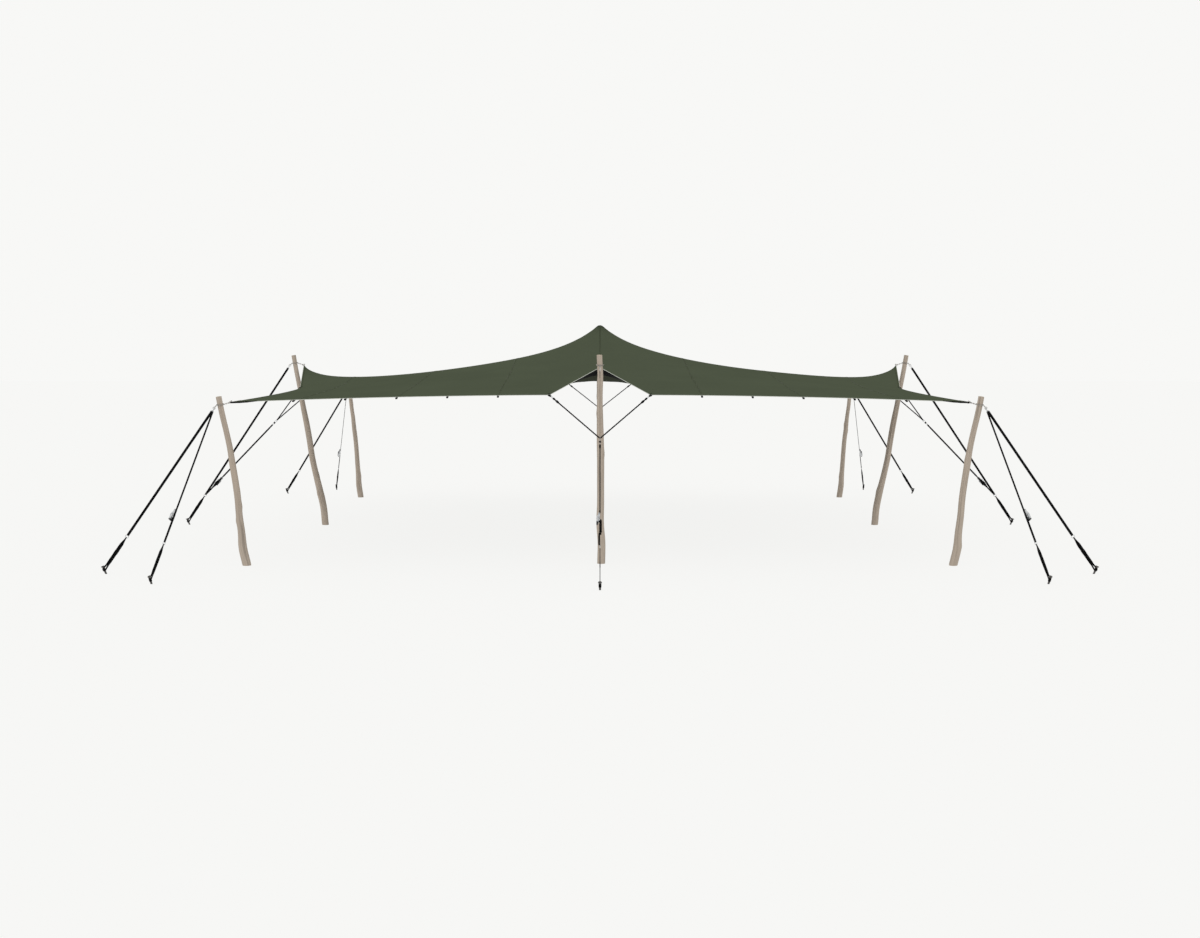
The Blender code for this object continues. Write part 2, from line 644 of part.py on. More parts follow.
def make_bridle(name, ring_at, side, spool_share):
    """Two ropes from the hem to a junction, a line to the ratchet and its webbing to the stay's ring."""
    junction = Vector(BRIDLE_JUNCTION)
    pieces = [box((JUNCTION_SIZE,) * 3, Matrix.Translation(junction))]
    for along in (-BRIDLE_SIDE, BRIDLE_SIDE):
        hem = Vector((BRIDLE_OUT, along, BRIDLE_Z))
        start = hem.lerp(junction, BRIDLE_DROP / (junction - hem).length)
        pieces.append(rod(start, junction, BRIDLE_ROPE))
    frame = line_frame(junction, ring_at, side)
    reach = (ring_at - junction).length
    spool_at, end = reach * spool_share, reach - BRIDLE_TAIL
    upper = list(BUNDLE)
    lower = [(x, -half) for x, half in reversed(BUNDLE)]
    pieces.append(plate(upper + lower, BUNDLE_THICK, frame @ Matrix.Translation((0, 0, -BUNDLE_SHIFT))))
    tail_start = frame @ Vector((end - TAIL_SEWN, 0, TAIL_START_ASIDE))
    tail_end = frame @ Vector((reach - BRIDLE_RING_GAP, 0, TAIL_END_ASIDE))
    pieces.append(rod(tail_start, tail_end, TAIL_RADIUS))
    pieces.append(rod(junction, frame @ Vector((spool_at + BOLT_AT, 0, 0)), BRIDLE_LINE))
    middle = frame @ Matrix.Translation(((spool_at + end) / 2, 0, 0))
    pieces.append(box((end - spool_at, WEBBING, WEBBING_THICK), middle))
    pieces += ratchet_pieces(frame, spool_at)
    return combine(name, pieces, ROPE), make_handle("handle", frame, spool_at)


def copy_to(source, name, matrix):
    """A copy of a finished piece, turned or mirrored to its own place."""
    mesh = source.data.copy()
    mesh.transform(matrix)
    if matrix.determinant() < 0:
        mesh.flip_normals()
    mesh.name = name
    return link_object(name, mesh)


def spread(source, places):
    """Copies of a piece at each named place, in the order given, in place of the piece itself."""
    for name, matrix in places.items():
        copy_to(source, name, matrix)
    bpy.data.objects.remove(source, do_unlink=True)


def spread_pieces(pieces, places):
    for piece in pieces:
        stem = "ratchet_handle" if piece.name.startswith("handle") else piece.name
        spread(piece, {f"{stem}_{place}": matrix for place, matrix in places.items()})


def make_corner_poles():
    for place, (x, y) in CORNERS.items():
        mirror = Matrix.Diagonal((x, y, 1.0))
        bows = [((-x, 0, 0), FRONT_CORNER_BOW), ((0, -y, 0), BACK_CORNER_BOW)]
        if y > 0:
            bows = [((-x, 0, 0), BACK_CORNER_BOW), ((0, -y, 0), FRONT_CORNER_BOW)]
        pole = make_pole("pole_" + place, mirror @ Vector((CORNER_FOOT, CORNER_FOOT, 0)),
                         mirror @ Vector((CORNER_TOP, CORNER_TOP, CORNER_TOP_Z)), CORNER_GIRTH, bows)
        tip = mirror @ Vector((CORNER_TIP, CORNER_TIP, CORNER_TIP_Z))
        make_chain("chain_" + place, pole, tip, mirror @ Vector(CORNER_HOOK), CORNER_CHAIN_Z,
                   mirror @ Vector((1, -1, 0)))


def make_corner_stays():
    """Each corner has a stay towards the side of the tent and one towards its front or back end."""
    hook = Vector(CORNER_HOOK)
    mirrors = {place: Matrix.Diagonal((*signs, 1.0, 1.0)) for place, signs in CORNERS.items()}
    for label, stake, hand in (("side", CORNER_STAKE, 1), ("end", CORNER_STAKE[::-1], -1)):
        ground = Vector((*stake, 0))
        face = webbing_face(hook, ground) * hand
        foot = ground + stake_axis(ground, hook) * STRAP_FOOT_Z
        pieces = make_stay("stay", hook, hook.lerp(foot, CORNER_RING_SHARE), ground, face, label == "end", True)
        pieces.append(make_stake("stake", ground, hook))
        spread_pieces(pieces, {f"{place}_{label}": mirror for place, mirror in mirrors.items()})


def make_sides():
    hook, ground, ring_at = Vector(MIDDLE_HOOK), Vector((MIDDLE_STAKE, 0, 0)), Vector(MIDDLE_RING)
    face = (0, -1, 0)
    turns = {place: Matrix.Rotation(order * math.pi / 2, 4, "Z") for order, place in enumerate(QUARTER_TURNS)}
    sides = {"right": Matrix.Diagonal((1.0, -1.0, 1.0, 1.0)), "left": turns["left"]}
    ends = {"back": turns["back"], "front": turns["front"]}
    stay = make_stay("stay", hook, ring_at, ground, face) + [make_stake("stake", ground, hook)]
    spread_pieces(stay, {**sides, **ends})
    spread_pieces(make_bridle("bridle", ring_at, face, SIDE_BRIDLE_SHARE), sides)
    spread_pieces(make_bridle("bridle", ring_at, face, END_BRIDLE_SHARE), ends)
    for place, turn in turns.items():
        inward, sideways = turn @ Vector((-1, 0, 0)), turn @ Vector((0, HAND[place][1], 0))
        bows = ((inward * HAND[place][0], INWARD_BOW), (sideways, SIDEWAYS_BOW))
        pole = make_pole("pole_" + place, turn @ Vector((MIDDLE_FOOT, 0, 0)),
                         turn @ Vector((MIDDLE_TOP, 0, MIDDLE_TOP_Z)), MIDDLE_GIRTH, bows)
        tip = turn @ Vector((MIDDLE_TIP, 0, MIDDLE_TIP_Z))
        make_chain("chain_" + place, pole, tip, turn @ hook, MIDDLE_CHAIN_Z, turn.to_3x3() @ Vector(face))


make_canopy()
make_centre_pole()
make_corner_poles()
make_corner_stays()
make_sides()
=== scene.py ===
"""Looks of a 10 x 10 m stretch tent: fabric canopy, crooked poles, straps, ropes, chains and stakes."""

import json
import math
import random

import bmesh
import bpy
import numpy as np
from mathutils import Matrix, Vector, noise

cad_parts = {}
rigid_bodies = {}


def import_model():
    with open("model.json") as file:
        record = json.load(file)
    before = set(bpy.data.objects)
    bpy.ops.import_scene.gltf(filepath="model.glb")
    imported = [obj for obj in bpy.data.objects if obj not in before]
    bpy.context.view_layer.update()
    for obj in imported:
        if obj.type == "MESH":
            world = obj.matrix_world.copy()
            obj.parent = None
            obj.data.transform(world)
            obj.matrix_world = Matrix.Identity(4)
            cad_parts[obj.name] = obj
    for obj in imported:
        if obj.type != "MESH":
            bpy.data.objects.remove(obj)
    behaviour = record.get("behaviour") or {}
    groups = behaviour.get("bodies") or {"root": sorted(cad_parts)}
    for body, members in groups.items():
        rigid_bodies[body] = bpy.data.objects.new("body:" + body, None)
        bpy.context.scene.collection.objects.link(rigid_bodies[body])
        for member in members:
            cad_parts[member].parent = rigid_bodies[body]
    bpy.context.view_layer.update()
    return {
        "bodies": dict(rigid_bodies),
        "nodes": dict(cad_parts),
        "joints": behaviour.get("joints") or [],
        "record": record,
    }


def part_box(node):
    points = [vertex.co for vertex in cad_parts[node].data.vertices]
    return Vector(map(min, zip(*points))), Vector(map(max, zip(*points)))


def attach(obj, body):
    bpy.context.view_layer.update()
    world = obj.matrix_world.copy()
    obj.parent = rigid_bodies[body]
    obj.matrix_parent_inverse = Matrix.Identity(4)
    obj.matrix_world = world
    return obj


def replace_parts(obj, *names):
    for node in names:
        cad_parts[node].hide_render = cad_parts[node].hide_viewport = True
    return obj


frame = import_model()
random.seed(7)

# Ground plan, in metres from the tent's centre
CORNER_FOOT = 5.07
CORNER_TOP = 5.358
CORNER_TOP_Z = 2.427
MIDDLE_FOOT = 4.90
MIDDLE_TOP = 5.407
MIDDLE_TOP_Z = 3.008
CORNER_STAKE = (6.81, 5.91)
MIDDLE_STAKE = 7.31

# Canopy
CORNER_TIP = 5.22
CORNER_TIP_Z = 2.345
MIDDLE_TIP = 5.232
MIDDLE_TIP_Z = 2.836
BRIDLE_SIDE = 0.717
BRIDLE_OUT = 5.159
BRIDLE_Z = 2.444
HEM_SAG = 0.177
HEM_BULGE = 0.015
PATCH_STIFFNESS = 0.35
PATCH_CORE = 0.05
UPLIFT = 0.005
SHEET_THICK = 0.0022
CENTRE_CELLS = 16
MIDDLE_CELLS = 22
OUTER_CELLS = 18
FIRST_CELL = 0.02
MIDDLE_REACH = 3.2
HEM_CROWDING = 0.75
SEAMS = (0.0, 1.45, 2.90, 4.35)
SEAM_WIDTH = 0.028
LOOP_STEP = 0.7256
STRIP_PLACES = 190
THREAD_WIDTH = 0.0028
THREAD_HEIGHT = 0.0009
# Straps at the corner tips: distance along the hem, height and half thickness
TIP_STRAP = ((0.0, 0.020, 0.0035), (0.03, 0.022, 0.0035), (0.12, 0.022, 0.0032), (0.22, 0.019, 0.0030),
             (0.36, 0.006, 0.0025))
HEAD_TOP_Z = 3.535
HEAD_RADIUS = 0.09
HEAD_SKIRT = 0.075

# Poles: diameter and bow in millimetres at each tenth of the length
CORNER_GIRTH = (120, 118, 103, 95, 93, 92, 90, 82, 79, 79, 79)
MIDDLE_GIRTH = (118, 115, 111, 101, 100, 100, 99, 90, 80, 78, 78)
CENTRE_GIRTH = (112, 110, 108, 106, 103, 101, 98, 96, 94, 92, 91)
FRONT_CORNER_BOW = (2, -10, 5, 12, 28, 33, 34, 36, 27, 11, 4)
BACK_CORNER_BOW = (-17, -29, -16, -6, 7, 14, 11, 13, 4, 3, 0)
INWARD_BOW = (13, 37, 24, 7, -4, 5, 6, -1, 0, -4, -5)
SIDEWAYS_BOW = (17, 21, 2, 9, 9, 10, 5, 0, -2, 5, -7)
CENTRE_BOW = (0, 3, 7, 10, 9, 4, -3, -8, -9, -5, 0)
POLE_RINGS = 110
POLE_SIDES = 28
CENTRE_SEED = 9

# Stays
WEBBING = 0.036
WEBBING_THICK = 0.0026
RING_RADIUS = 0.022
RING_WIRE = 0.0042
CORNER_HOOK = (5.408, 5.408, 2.268)
MIDDLE_HOOK = (5.477, 0.0, 2.831)
CORNER_RING_SHARE = 0.797
MIDDLE_RING = (7.027, 0.0, 0.521)
STRAP_FOOT_Z = 0.062
SLING_GAP = 0.0120
SLING_FORK = 0.86
STAKE_LEAN = math.radians(22)
STAKE_LENGTH = 0.120
STAKE_RADIUS = 0.0135
STAKE_HEAD_RADIUS = 0.025

# Bridles and ratchets
BRIDLE_JUNCTION = (5.725, 0.0, 1.86)
BRIDLE_ROPE = 0.0106
BRIDLE_LINE = 0.0084
BRIDLE_LINE_ASIDE = 0.0062
BRIDLE_TAIL = 0.190
TAIL_START_ASIDE = 0.0095
TAIL_END_ASIDE = 0.0135
RATCHET_SHARE = 0.627
END_BRIDLE_SHARE = 0.749
SIDE_BRIDLE_SHARE = 0.806
FRAME_HALF = 0.021
SPOOL_OFFSET = 0.022
BOLT_AT = -0.070
BOLT_UP = 0.009
HANDLE_HALF = 0.0295
HANDLE_TILT = math.radians(3)
GRIP_AT = 0.078
GRIP_UP = 0.012
KNOT_SIZES = (0.006, 0.012, 0.0145, 0.0155, 0.016, 0.0155, 0.014, 0.0115, 0.006)
LINE_SLEEVE_SIZES = (0.006, 0.0115, 0.0130, 0.0134, 0.0134, 0.0128, 0.0122, 0.0114, 0.010)
TAIL_SIZES = (0.007, 0.0108, 0.0115, 0.0112, 0.0115, 0.0108, 0.0072)
SLEEVE_SWELL = (0.55, 0.86, 0.96, 1, 1, 0.98, 0.92, 0.82, 0.6)
# Spare webbing on the line, and the turns that bind it: distance, half width and half depth
BUNDLE_RUN = ((1.418, 0.010, 0.010), (1.440, 0.013, 0.017), (1.500, 0.014, 0.019), (1.523, 0.025, 0.019),
              (1.545, 0.030, 0.019), (1.570, 0.030, 0.019), (1.600, 0.022, 0.018), (1.640, 0.013, 0.014),
              (1.668, 0.008, 0.010))
BUNDLE_TURNS = ((1.455, 0.0140, 0.0165), (1.618, 0.0190, 0.0180))
BUNDLE_SHIFT = 0.007

# Chains
CORNER_CHAIN_Z = 2.315
MIDDLE_CHAIN_Z = 2.871
LINK_WIRE = 0.0028
LINK_PITCH = 0.026
LINK_WIDTH = 0.0085
PIN_AT = -0.012

# Stage
CAMERA_LENS = 43.94
CAMERA_PLACE = (0, -25.94, 3.0)
CAMERA_PITCH = 0.0772
STUDIO_WHITE = (0.945, 0.945, 0.93)
FLOOR_REACH = 150

QUARTER_TURNS = ("right", "back", "left", "front")
HAND = {"right": (1, -1), "back": (-1, -1), "left": (1, 1), "front": (1, 1)}
CORNERS = {"front_left": (-1, -1), "front_right": (1, -1), "back_left": (-1, 1), "back_right": (1, 1)}


# Materials

def shade(colour, share, lift=0.0):
    return tuple(c * share + lift for c in colour)


class Paint:
    """A procedural material with small helpers for its nodes."""

    def __init__(self, name, colour, roughness, metallic=0.0):
        self.material = bpy.data.materials.new(name)
        self.material.use_nodes = True
        self.tree = self.material.node_tree
        self.shader = self.tree.nodes["Principled BSDF"]
        for socket, value in (("Base Color", colour), ("Roughness", roughness), ("Metallic", metallic)):
            self.feed(self.shader.inputs[socket], value)

    def feed(self, socket, value):
        """Sets a socket to a number or a colour, or links another node's output to it."""
        if isinstance(value, (int, float)):
            socket.default_value = value
        elif isinstance(value, tuple):
            socket.default_value = (*value, 1.0)
        else:
            self.tree.links.new(value, socket)

    def node(self, kind, inputs, **settings):
        made = self.tree.nodes.new(kind)
        for key, value in settings.items():
            setattr(made, key, value)
        for key, value in inputs.items():
            self.feed(made.inputs[key], value)
        return made

    def coordinates(self, kind):
        return self.node("ShaderNodeTexCoord", {}).outputs[kind]

    def split(self, place):
        made = self.node("ShaderNodeSeparateXYZ", {"Vector": place})
        return made.outputs["X"], made.outputs["Y"]

    def round_trunk(self, stretch):
        """A trunk's own coordinates from its UVs: round it with the first and along it with the second."""
        turn, along = self.split(self.coordinates("UV"))
        angle = self.times(turn, 2 * math.pi)
        x, y = (self.times(self.math(wave, angle), 0.05) for wave in ("COSINE", "SINE"))
        parts = {"X": x, "Y": y, "Z": self.times(along, stretch)}
        return self.node("ShaderNodeCombineXYZ", parts).outputs["Vector"]

    def noise(self, place, scale, detail=3.0, rough=0.5, distortion=0.0):
        return self.node("ShaderNodeTexNoise", {"Scale": scale, "Detail": detail, "Roughness": rough,
                                                "Distortion": distortion, "Vector": place}).outputs["Fac"]

    def wave(self, place, scale, axis, distortion=0.0, kind="BANDS"):
        direction = {kind.lower() + "_direction": axis}
        return self.node("ShaderNodeTexWave", {"Scale": scale, "Distortion": distortion, "Vector": place},
                         wave_type=kind, **direction).outputs["Fac"]

    def math(self, operation, first, second=0.0):
        return self.node("ShaderNodeMath", {0: first, 1: second}, operation=operation).outputs["Value"]

    def times(self, first, second):
        return self.math("MULTIPLY", first, second)

    def ramp(self, factor, stops):
        made = self.node("ShaderNodeValToRGB", {"Fac": factor})
        elements = made.color_ramp.elements
        while len(elements) < len(stops):
            elements.new(0.5)
        for element, (place, colour) in zip(elements, stops):
            element.position = place
            element.color = (*colour, 1.0)
        return made.outputs["Color"]

    def mix(self, factor, first, second):
        made = self.node("ShaderNodeMix", {}, data_type="RGBA")
        for name, value in (("Factor", factor), ("A", first), ("B", second)):
            self.feed([s for s in made.inputs if s.name == name and s.enabled][0], value)
        return [s for s in made.outputs if s.enabled][0]

    def colour(self, source):
        self.feed(self.shader.inputs["Base Color"], source)

    def rough(self, factor, low, high):
        made = self.node("ShaderNodeMapRange", {"To Min": low, "To Max": high, "Value": factor})
        self.feed(self.shader.inputs["Roughness"], made.outputs["Result"])

    def bump(self, height, distance, strength=1.0, under=None):
        inputs = {"Strength": strength, "Distance": distance, "Height": height}
        if under:
            inputs["Normal"] = under
        normal = self.node("ShaderNodeBump", inputs).outputs["Normal"]
        self.feed(self.shader.inputs["Normal"], normal)
        return normal

    def gloss(self, level):
        self.shader.inputs["Specular IOR Level"].default_value = level
        return self.material


def canopy_paint(name, colour, dull):
    """Coated stretch fabric: fine knit, faint mottling and radial gathers under the peak."""
    paint = Paint(name, colour, 0.86)
    place = paint.coordinates("Object")
    mottle = paint.noise(place, 0.9, 4.0, 0.6)
    fine = paint.noise(place, 14.0, 3.0, 0.6)
    broad = paint.ramp(mottle, [(0.3, shade(colour, dull)), (0.7, shade(colour, 2 - dull))])
    paint.colour(paint.mix(paint.times(fine, 0.16), broad, shade(colour, 0.6)))
    paint.rough(fine, 0.78, 0.93)
    across, deep = paint.split(place)
    angle = paint.math("ARCTAN2", deep, across)
    radius = paint.math("SQRT", paint.math("ADD", paint.times(across, across), paint.times(deep, deep)))
    wobble = paint.times(paint.noise(place, 3.0), 5.0)
    folds = paint.math("SINE", paint.math("ADD", paint.times(angle, 34.0), wobble))
    fade = paint.math("POWER", 2.718, paint.times(radius, -3.2))
    gathers = paint.bump(paint.times(folds, fade), 0.004)
    soft = paint.bump(paint.noise(place, 2.2, 2.0), 0.02, 0.35, gathers)
    knit = paint.times(paint.wave(place, 260.0, "X"), paint.wave(place, 260.0, "Y"))
    paint.bump(knit, 0.0004, 0.5, soft)
    return paint.gloss(0.0)


def webbing_paint(name, colour, ribs=420.0):
    """Woven strap: ribs across the width, a chevron along it, and paler worn patches."""
    paint = Paint(name, colour, 0.72)
    place = paint.coordinates("UV")
    weave = paint.times(paint.wave(place, ribs / 6.283, "X"), paint.wave(place, ribs / 4.0, "DIAGONAL"))
    worn = paint.noise(paint.coordinates("Object"), 7.0, 4.0, 0.65)
    marks = paint.times(paint.math("ADD", worn, weave), 0.35)
    paint.colour(paint.mix(marks, colour, shade(colour, 2.4, 0.001)))
    paint.rough(worn, 0.7, 0.9)
    paint.bump(weave, 0.0006, 0.8)
    return paint.gloss(0.06)


def wood_paint(name, pale, groove):
    """Bare peeled trunk: grain along it, drying cracks and grey weathering."""
    paint = Paint(name, pale, 0.78)
    grain = paint.noise(paint.round_trunk(0.045), 58.0, 6.0, 0.62, 0.4)
    streak = paint.noise(paint.round_trunk(0.10), 16.0, 4.0, 0.6)
    weather = paint.noise(paint.coordinates("Object"), 2.6, 4.0, 0.6)
    between = tuple((a + b) / 2 for a, b in zip(pale, groove))
    wood = paint.ramp(grain, [(0.30, groove), (0.44, between), (0.62, pale)])
    wood = paint.mix(paint.times(streak, 0.35), wood, shade(pale, 0.82))
    wood = paint.mix(paint.times(weather, 0.25), wood, (0.42, 0.40, 0.37))
    cracks = paint.noise(paint.round_trunk(0.022), 30.0, 2.0, 0.5)
    line = paint.ramp(cracks, [(0.655, (0, 0, 0)), (0.69, (1, 1, 1))])
    paint.colour(paint.mix(paint.times(line, 0.40), wood, shade(groove, 0.35)))
    paint.rough(grain, 0.68, 0.9)
    paint.bump(grain, 0.0016, 0.7, paint.bump(streak, 0.006, 0.22))
    return paint.material


def sawn_paint(name, pale, groove):
    """Sawn end of a trunk: growth rings round its centre, with saw marks."""
    paint = Paint(name, pale, 0.85)
    place = paint.coordinates("UV")
    tone = paint.ramp(paint.wave(place, 70.0, "Z", 1.6, "RINGS"), [(0.25, groove), (0.6, pale)])
    paint.colour(paint.mix(paint.times(paint.noise(place, 30.0), 0.3), tone, shade(pale, 0.7)))
    paint.bump(paint.wave(place, 90.0, "X", 2.0), 0.0008, 0.5)
    return paint.material


def metal_paint(name, bright, dull, roughness=0.38, metallic=0.9):
    """Zinc-plated or worn steel with duller patches and fine pits."""
    paint = Paint(name, bright, roughness, metallic)
    place = paint.coordinates("Object")
    patch = paint.noise(place, 24.0, 4.0, 0.65)
    paint.colour(paint.ramp(patch, [(0.32, dull), (0.62, bright)]))
    paint.rough(patch, roughness - 0.08, roughness + 0.18)
    paint.bump(paint.noise(place, 190.0, 2.0), 0.0005, 0.4)
    return paint.material


def rope_paint(name, colour):
    """Twisted cover: fibres run along the lay, with a few lighter flecks."""
    paint = Paint(name, colour, 0.82)
    fibre = paint.wave(paint.coordinates("UV"), 190.0, "DIAGONAL", 1.5)
    fleck = paint.noise(paint.coordinates("Object"), 160.0, 3.0, 0.6)
    paint.colour(paint.mix(paint.times(paint.times(fleck, fibre), 0.9), colour, shade(colour, 2.2, 0.002)))
    paint.bump(fibre, 0.0005, 0.6)
    return paint.gloss(0.1)


def rubber_paint(name, colour):
    """Moulded rubber with grit and worn patches."""
    paint = Paint(name, colour, 0.6)
    place = paint.coordinates("Object")
    paint.colour(paint.mix(paint.times(paint.noise(place, 30.0, 4.0), 0.5), colour, shade(colour, 2.5)))
    paint.bump(paint.noise(place, 320.0, 2.0), 0.0004, 0.5)
    return paint.material


CANVAS = canopy_paint("canopy_top_fabric", (0.0760, 0.0905, 0.0590), 0.95)
# The underside is the top's fabric in a darker colour: painted shade, since no light reaches it.
SHADED_UNDERSIDE = canopy_paint("canopy_underside_shaded_fabric", (0.042, 0.046, 0.034), 0.92)
HEM = canopy_paint("canopy_hem_fabric", (0.064, 0.078, 0.045), 0.92)
PIPING = Paint("pale_edge_bead", (0.50, 0.52, 0.46), 0.7).material
THREAD = Paint("dark_thread", (0.014, 0.018, 0.011), 0.7).material
# Black webbing; in the hem it also covers the hem's lower face as painted shade beneath the hem.
STRAP_AND_HEM_SHADE = webbing_paint("black_webbing_weave_and_hem_shade", (0.0024, 0.0024, 0.0027))
# Black sleeve weave; on the sheet it also makes a band of painted shade along the underside near the hem.
SLEEVE_AND_SHADE_BAND = webbing_paint("black_sleeve_weave_and_shade_band", (0.0020, 0.0020, 0.0022), 900.0)
STITCH = Paint("grey_thread", (0.030, 0.030, 0.032), 0.65).material
ROPE = rope_paint("dark_rope_fibre", (0.0065, 0.0066, 0.0072))
WOOD = wood_paint("peeled_trunk_wood", (0.455, 0.375, 0.300), (0.285, 0.225, 0.172))
SAWN = sawn_paint("sawn_end_wood", (0.50, 0.42, 0.32), (0.30, 0.235, 0.17))
ZINC = metal_paint("galvanised_steel_finish", (0.66, 0.67, 0.68), (0.42, 0.43, 0.44))
IRON = metal_paint("worn_stake_steel", (0.110, 0.105, 0.100), (0.045, 0.042, 0.040), 0.55, 0.5)
CHAIN = metal_paint("weathered_chain_steel", (0.42, 0.40, 0.37), (0.27, 0.255, 0.235), 0.55, 0.55)
GRIP = rubber_paint("black_grip_rubber", (0.007, 0.007, 0.008))


# Shapes

def steps(first, span, count):
    """Even steps from a first value over a span, both ends included."""
    return [first + span * k / count for k in range(count + 1)]


def ellipse(wide, tall, sides=12):
    turns = [2 * math.pi * k / sides for k in range(sides)]
    return [(wide * math.cos(angle), tall * math.sin(angle)) for angle in turns]


def circle(radius, sides=8):
    return ellipse(radius, radius, sides)


def strap(width, thick=WEBBING_THICK):
    """Section of a woven strap with soft edges."""
    half, edge = width / 2, thick * 0.45
    corners = [(-half, -thick * 0.2), (edge - half, -thick / 2), (0, -thick / 2), (half - edge, -thick / 2)]
    corners.append((half, -thick * 0.2))
    return corners + [(-x, -y) for x, y in corners]


def oval(length, width, points):
    """A chain link's middle line in its own plane, with round ends."""
    arc = (length - width) / 2
    return [Vector((x + (arc if x > width * 5e-7 else -arc), y, 0)) for x, y in circle(width / 2, points)]


def at(place, x, y=0.0, z=0.0):
    """A point given in a frame's own coordinates."""
    return place @ Vector((x, y, z))


def upward(place):
    """Direction of a frame's Z axis."""
    return place.to_3x3() @ Vector((0, 0, 1))


def aimed(start, direction):
    """A frame at start with its Z axis along a direction."""
    return Matrix.Translation(start) @ direction.to_track_quat("Z", "Y").to_matrix().to_4x4()


def line_frame(start, end, side):
    """A frame at start with X along the line, Z towards side and Y across it."""
    along = (Vector(end) - Vector(start)).normalized()
    across = Vector(side).cross(along).normalized()
    rotation = Matrix((along, across, along.cross(across))).transposed().to_4x4()
    return Matrix.Translation(start) @ rotation


class Shape:
    """Collects the faces of a piece, each with a material number and UVs in metres."""

    def __init__(self):
        self.verts, self.faces, self.marks, self.uvs = [], [], [], []

    def quad(self, corners, uvs, mark):
        self.faces.append(corners)
        self.marks.append(mark)
        self.uvs.extend(uvs)

    def band(self, here, there, sides, across, along, mark):
        """Quads between two rings of points; across and along give the UVs, and mark may differ by side."""
        for j in range(sides):
            after = (j + 1) % sides
            u0, u1, v0, v1 = across[j], across[j + 1], along[0], along[1]
            self.quad((here + j, here + after, there + after, there + j),
                      ((u0, v0), (u1, v0), (u1, v1), (u0, v1)),
                      mark[j] if isinstance(mark, tuple) else mark)

    def sweep(self, path, section, mark=0, normal=None, closed=False, twist=0.0):
        """Runs a section along a path. The section may be one outline or one for each point."""
        path = [Vector(point) for point in path]
        count = len(path)
        sections = section if isinstance(section[0], list) else [section] * count
        tangents = []
        for k in range(count):
            before = path[k - 1] if k or closed else path[0]
            after = path[(k + 1) % count] if k < count - 1 or closed else path[-1]
            tangents.append((after - before).normalized())
        up = Vector(normal) if normal is not None else tangents[0].orthogonal()
        base, ups = len(self.verts), []
        for tangent in tangents:
            up = (up - tangent * up.dot(tangent)).normalized()
            ups.append(up)
        slip = 0.0
        if closed:
            back = (ups[-1] - tangents[0] * ups[-1].dot(tangents[0])).normalized()
            slip = math.atan2(back.cross(ups[0]).dot(tangents[0]), back.dot(ups[0]))
        distances = [0.0]
        for k in range(1, count + (1 if closed else 0)):
            distances.append(distances[-1] + (path[k % count] - path[k - 1]).length)
        for k in range(count):
            turn = slip * k / count + twist * distances[k]
            up = Matrix.Rotation(turn, 3, tangents[k]) @ ups[k]
            across = up.cross(tangents[k])
            self.verts.extend(path[k] + across * x + up * y for x, y in sections[k])
        outline = sections[0]
        sides = len(outline)
        girth = [0.0]
        for (x0, y0), (x1, y1) in zip(outline, outline[1:] + outline[:1]):
            girth.append(girth[-1] + math.hypot(x1 - x0, y1 - y0))
        for k in range(count if closed else count - 1):
            self.band(base + k * sides, base + ((k + 1) % count) * sides, sides, girth,
                      distances[k:k + 2], mark)
        if not closed:
            far = base + (count - 1) * sides
            for start, order in ((base, range(sides - 1, -1, -1)), (far, range(sides))):
                self.quad(tuple(start + j for j in order), [outline[j] for j in order], mark)

    def tube(self, path, sizes, mark=0, sides=10):
        """A round body whose radius changes along its path."""
        self.sweep(path, [circle(size, sides) for size in sizes], mark)

    def lathe(self, profile, matrix, sides=20, mark=0, wobble=0.0):
        """Turns a list of radius and height about the matrix's Z axis, closed at both ends."""
        base = len(self.verts)
        for radius, height in profile:
            for x, y in circle(1.0, sides):
                size = radius * (1 + wobble * noise.noise(Vector((x * 2, y * 2, height * 40))))
                self.verts.append(at(matrix, size * x, size * y, height))
        across = [k / sides * 0.1 for k in range(sides + 1)]
        for i, pair in enumerate(zip(profile, profile[1:])):
            low = base + i * sides
            self.band(low, low + sides, sides, across, [height for _, height in pair], mark)
        for start in (base, base + (len(profile) - 1) * sides):
            self.quad(tuple(range(start, start + sides)), circle(0.02, sides), mark)

    def plate(self, outline, thick, matrix, mark=0):
        """A flat plate in the matrix's XY plane."""
        base, sides = len(self.verts), len(outline)
        for height in (-thick / 2, thick / 2):
            self.verts.extend(at(matrix, x, y, height) for x, y in outline)
        self.quad(tuple(range(base + sides - 1, base - 1, -1)), outline[::-1], mark)
        self.quad(tuple(range(base + sides, base + 2 * sides)), outline, mark)
        for k in range(sides):
            after = (k + 1) % sides
            self.quad((base + k, base + after, base + sides + after, base + sides + k),
                      ((0, 0), (0.01, 0), (0.01, thick), (0, thick)), mark)

    def bar(self, start, end, radius, sides=10, mark=0, chamfer=0.0012):
        """A round bar with chamfered ends."""
        length = (end - start).length
        self.lathe([(radius - chamfer, 0), (radius, chamfer), (radius, length - chamfer),
                    (radius - chamfer, length)],
                   aimed(start, end - start), sides, mark)

    def loop(self, points, wire, matrix, sides, mark=0):
        """Round wire along a closed path in the matrix's XY plane."""
        path = [matrix @ point for point in points]
        self.sweep(path, circle(wire, sides), mark, upward(matrix), closed=True)

    def ring(self, matrix, radius, wire, points=20, sides=8):
        self.loop([Vector((x, y, 0)) for x, y in circle(radius, points)], wire, matrix, sides)

    def link(self, matrix, length, width, wire, mark=0, points=14, sides=6):
        """An oval link with its length along X."""
        self.loop(oval(length, width, points), wire, matrix, sides, mark)

    def stitches(self, rows, radius=0.0006, mark=1, length=0.005, gap=0.003):
        """Short thread stitches along straight rows, each row given by its ends."""
        for start, end in rows:
            way = (end - start).normalized()
            for k in range(int((end - start).length / (length + gap))):
                first = start + way * k * (length + gap)
                path = [first, first + way * length / 2, first + way * length]
                self.tube(path, [radius * share for share in (0.5, 1.0, 0.5)], mark, 4)

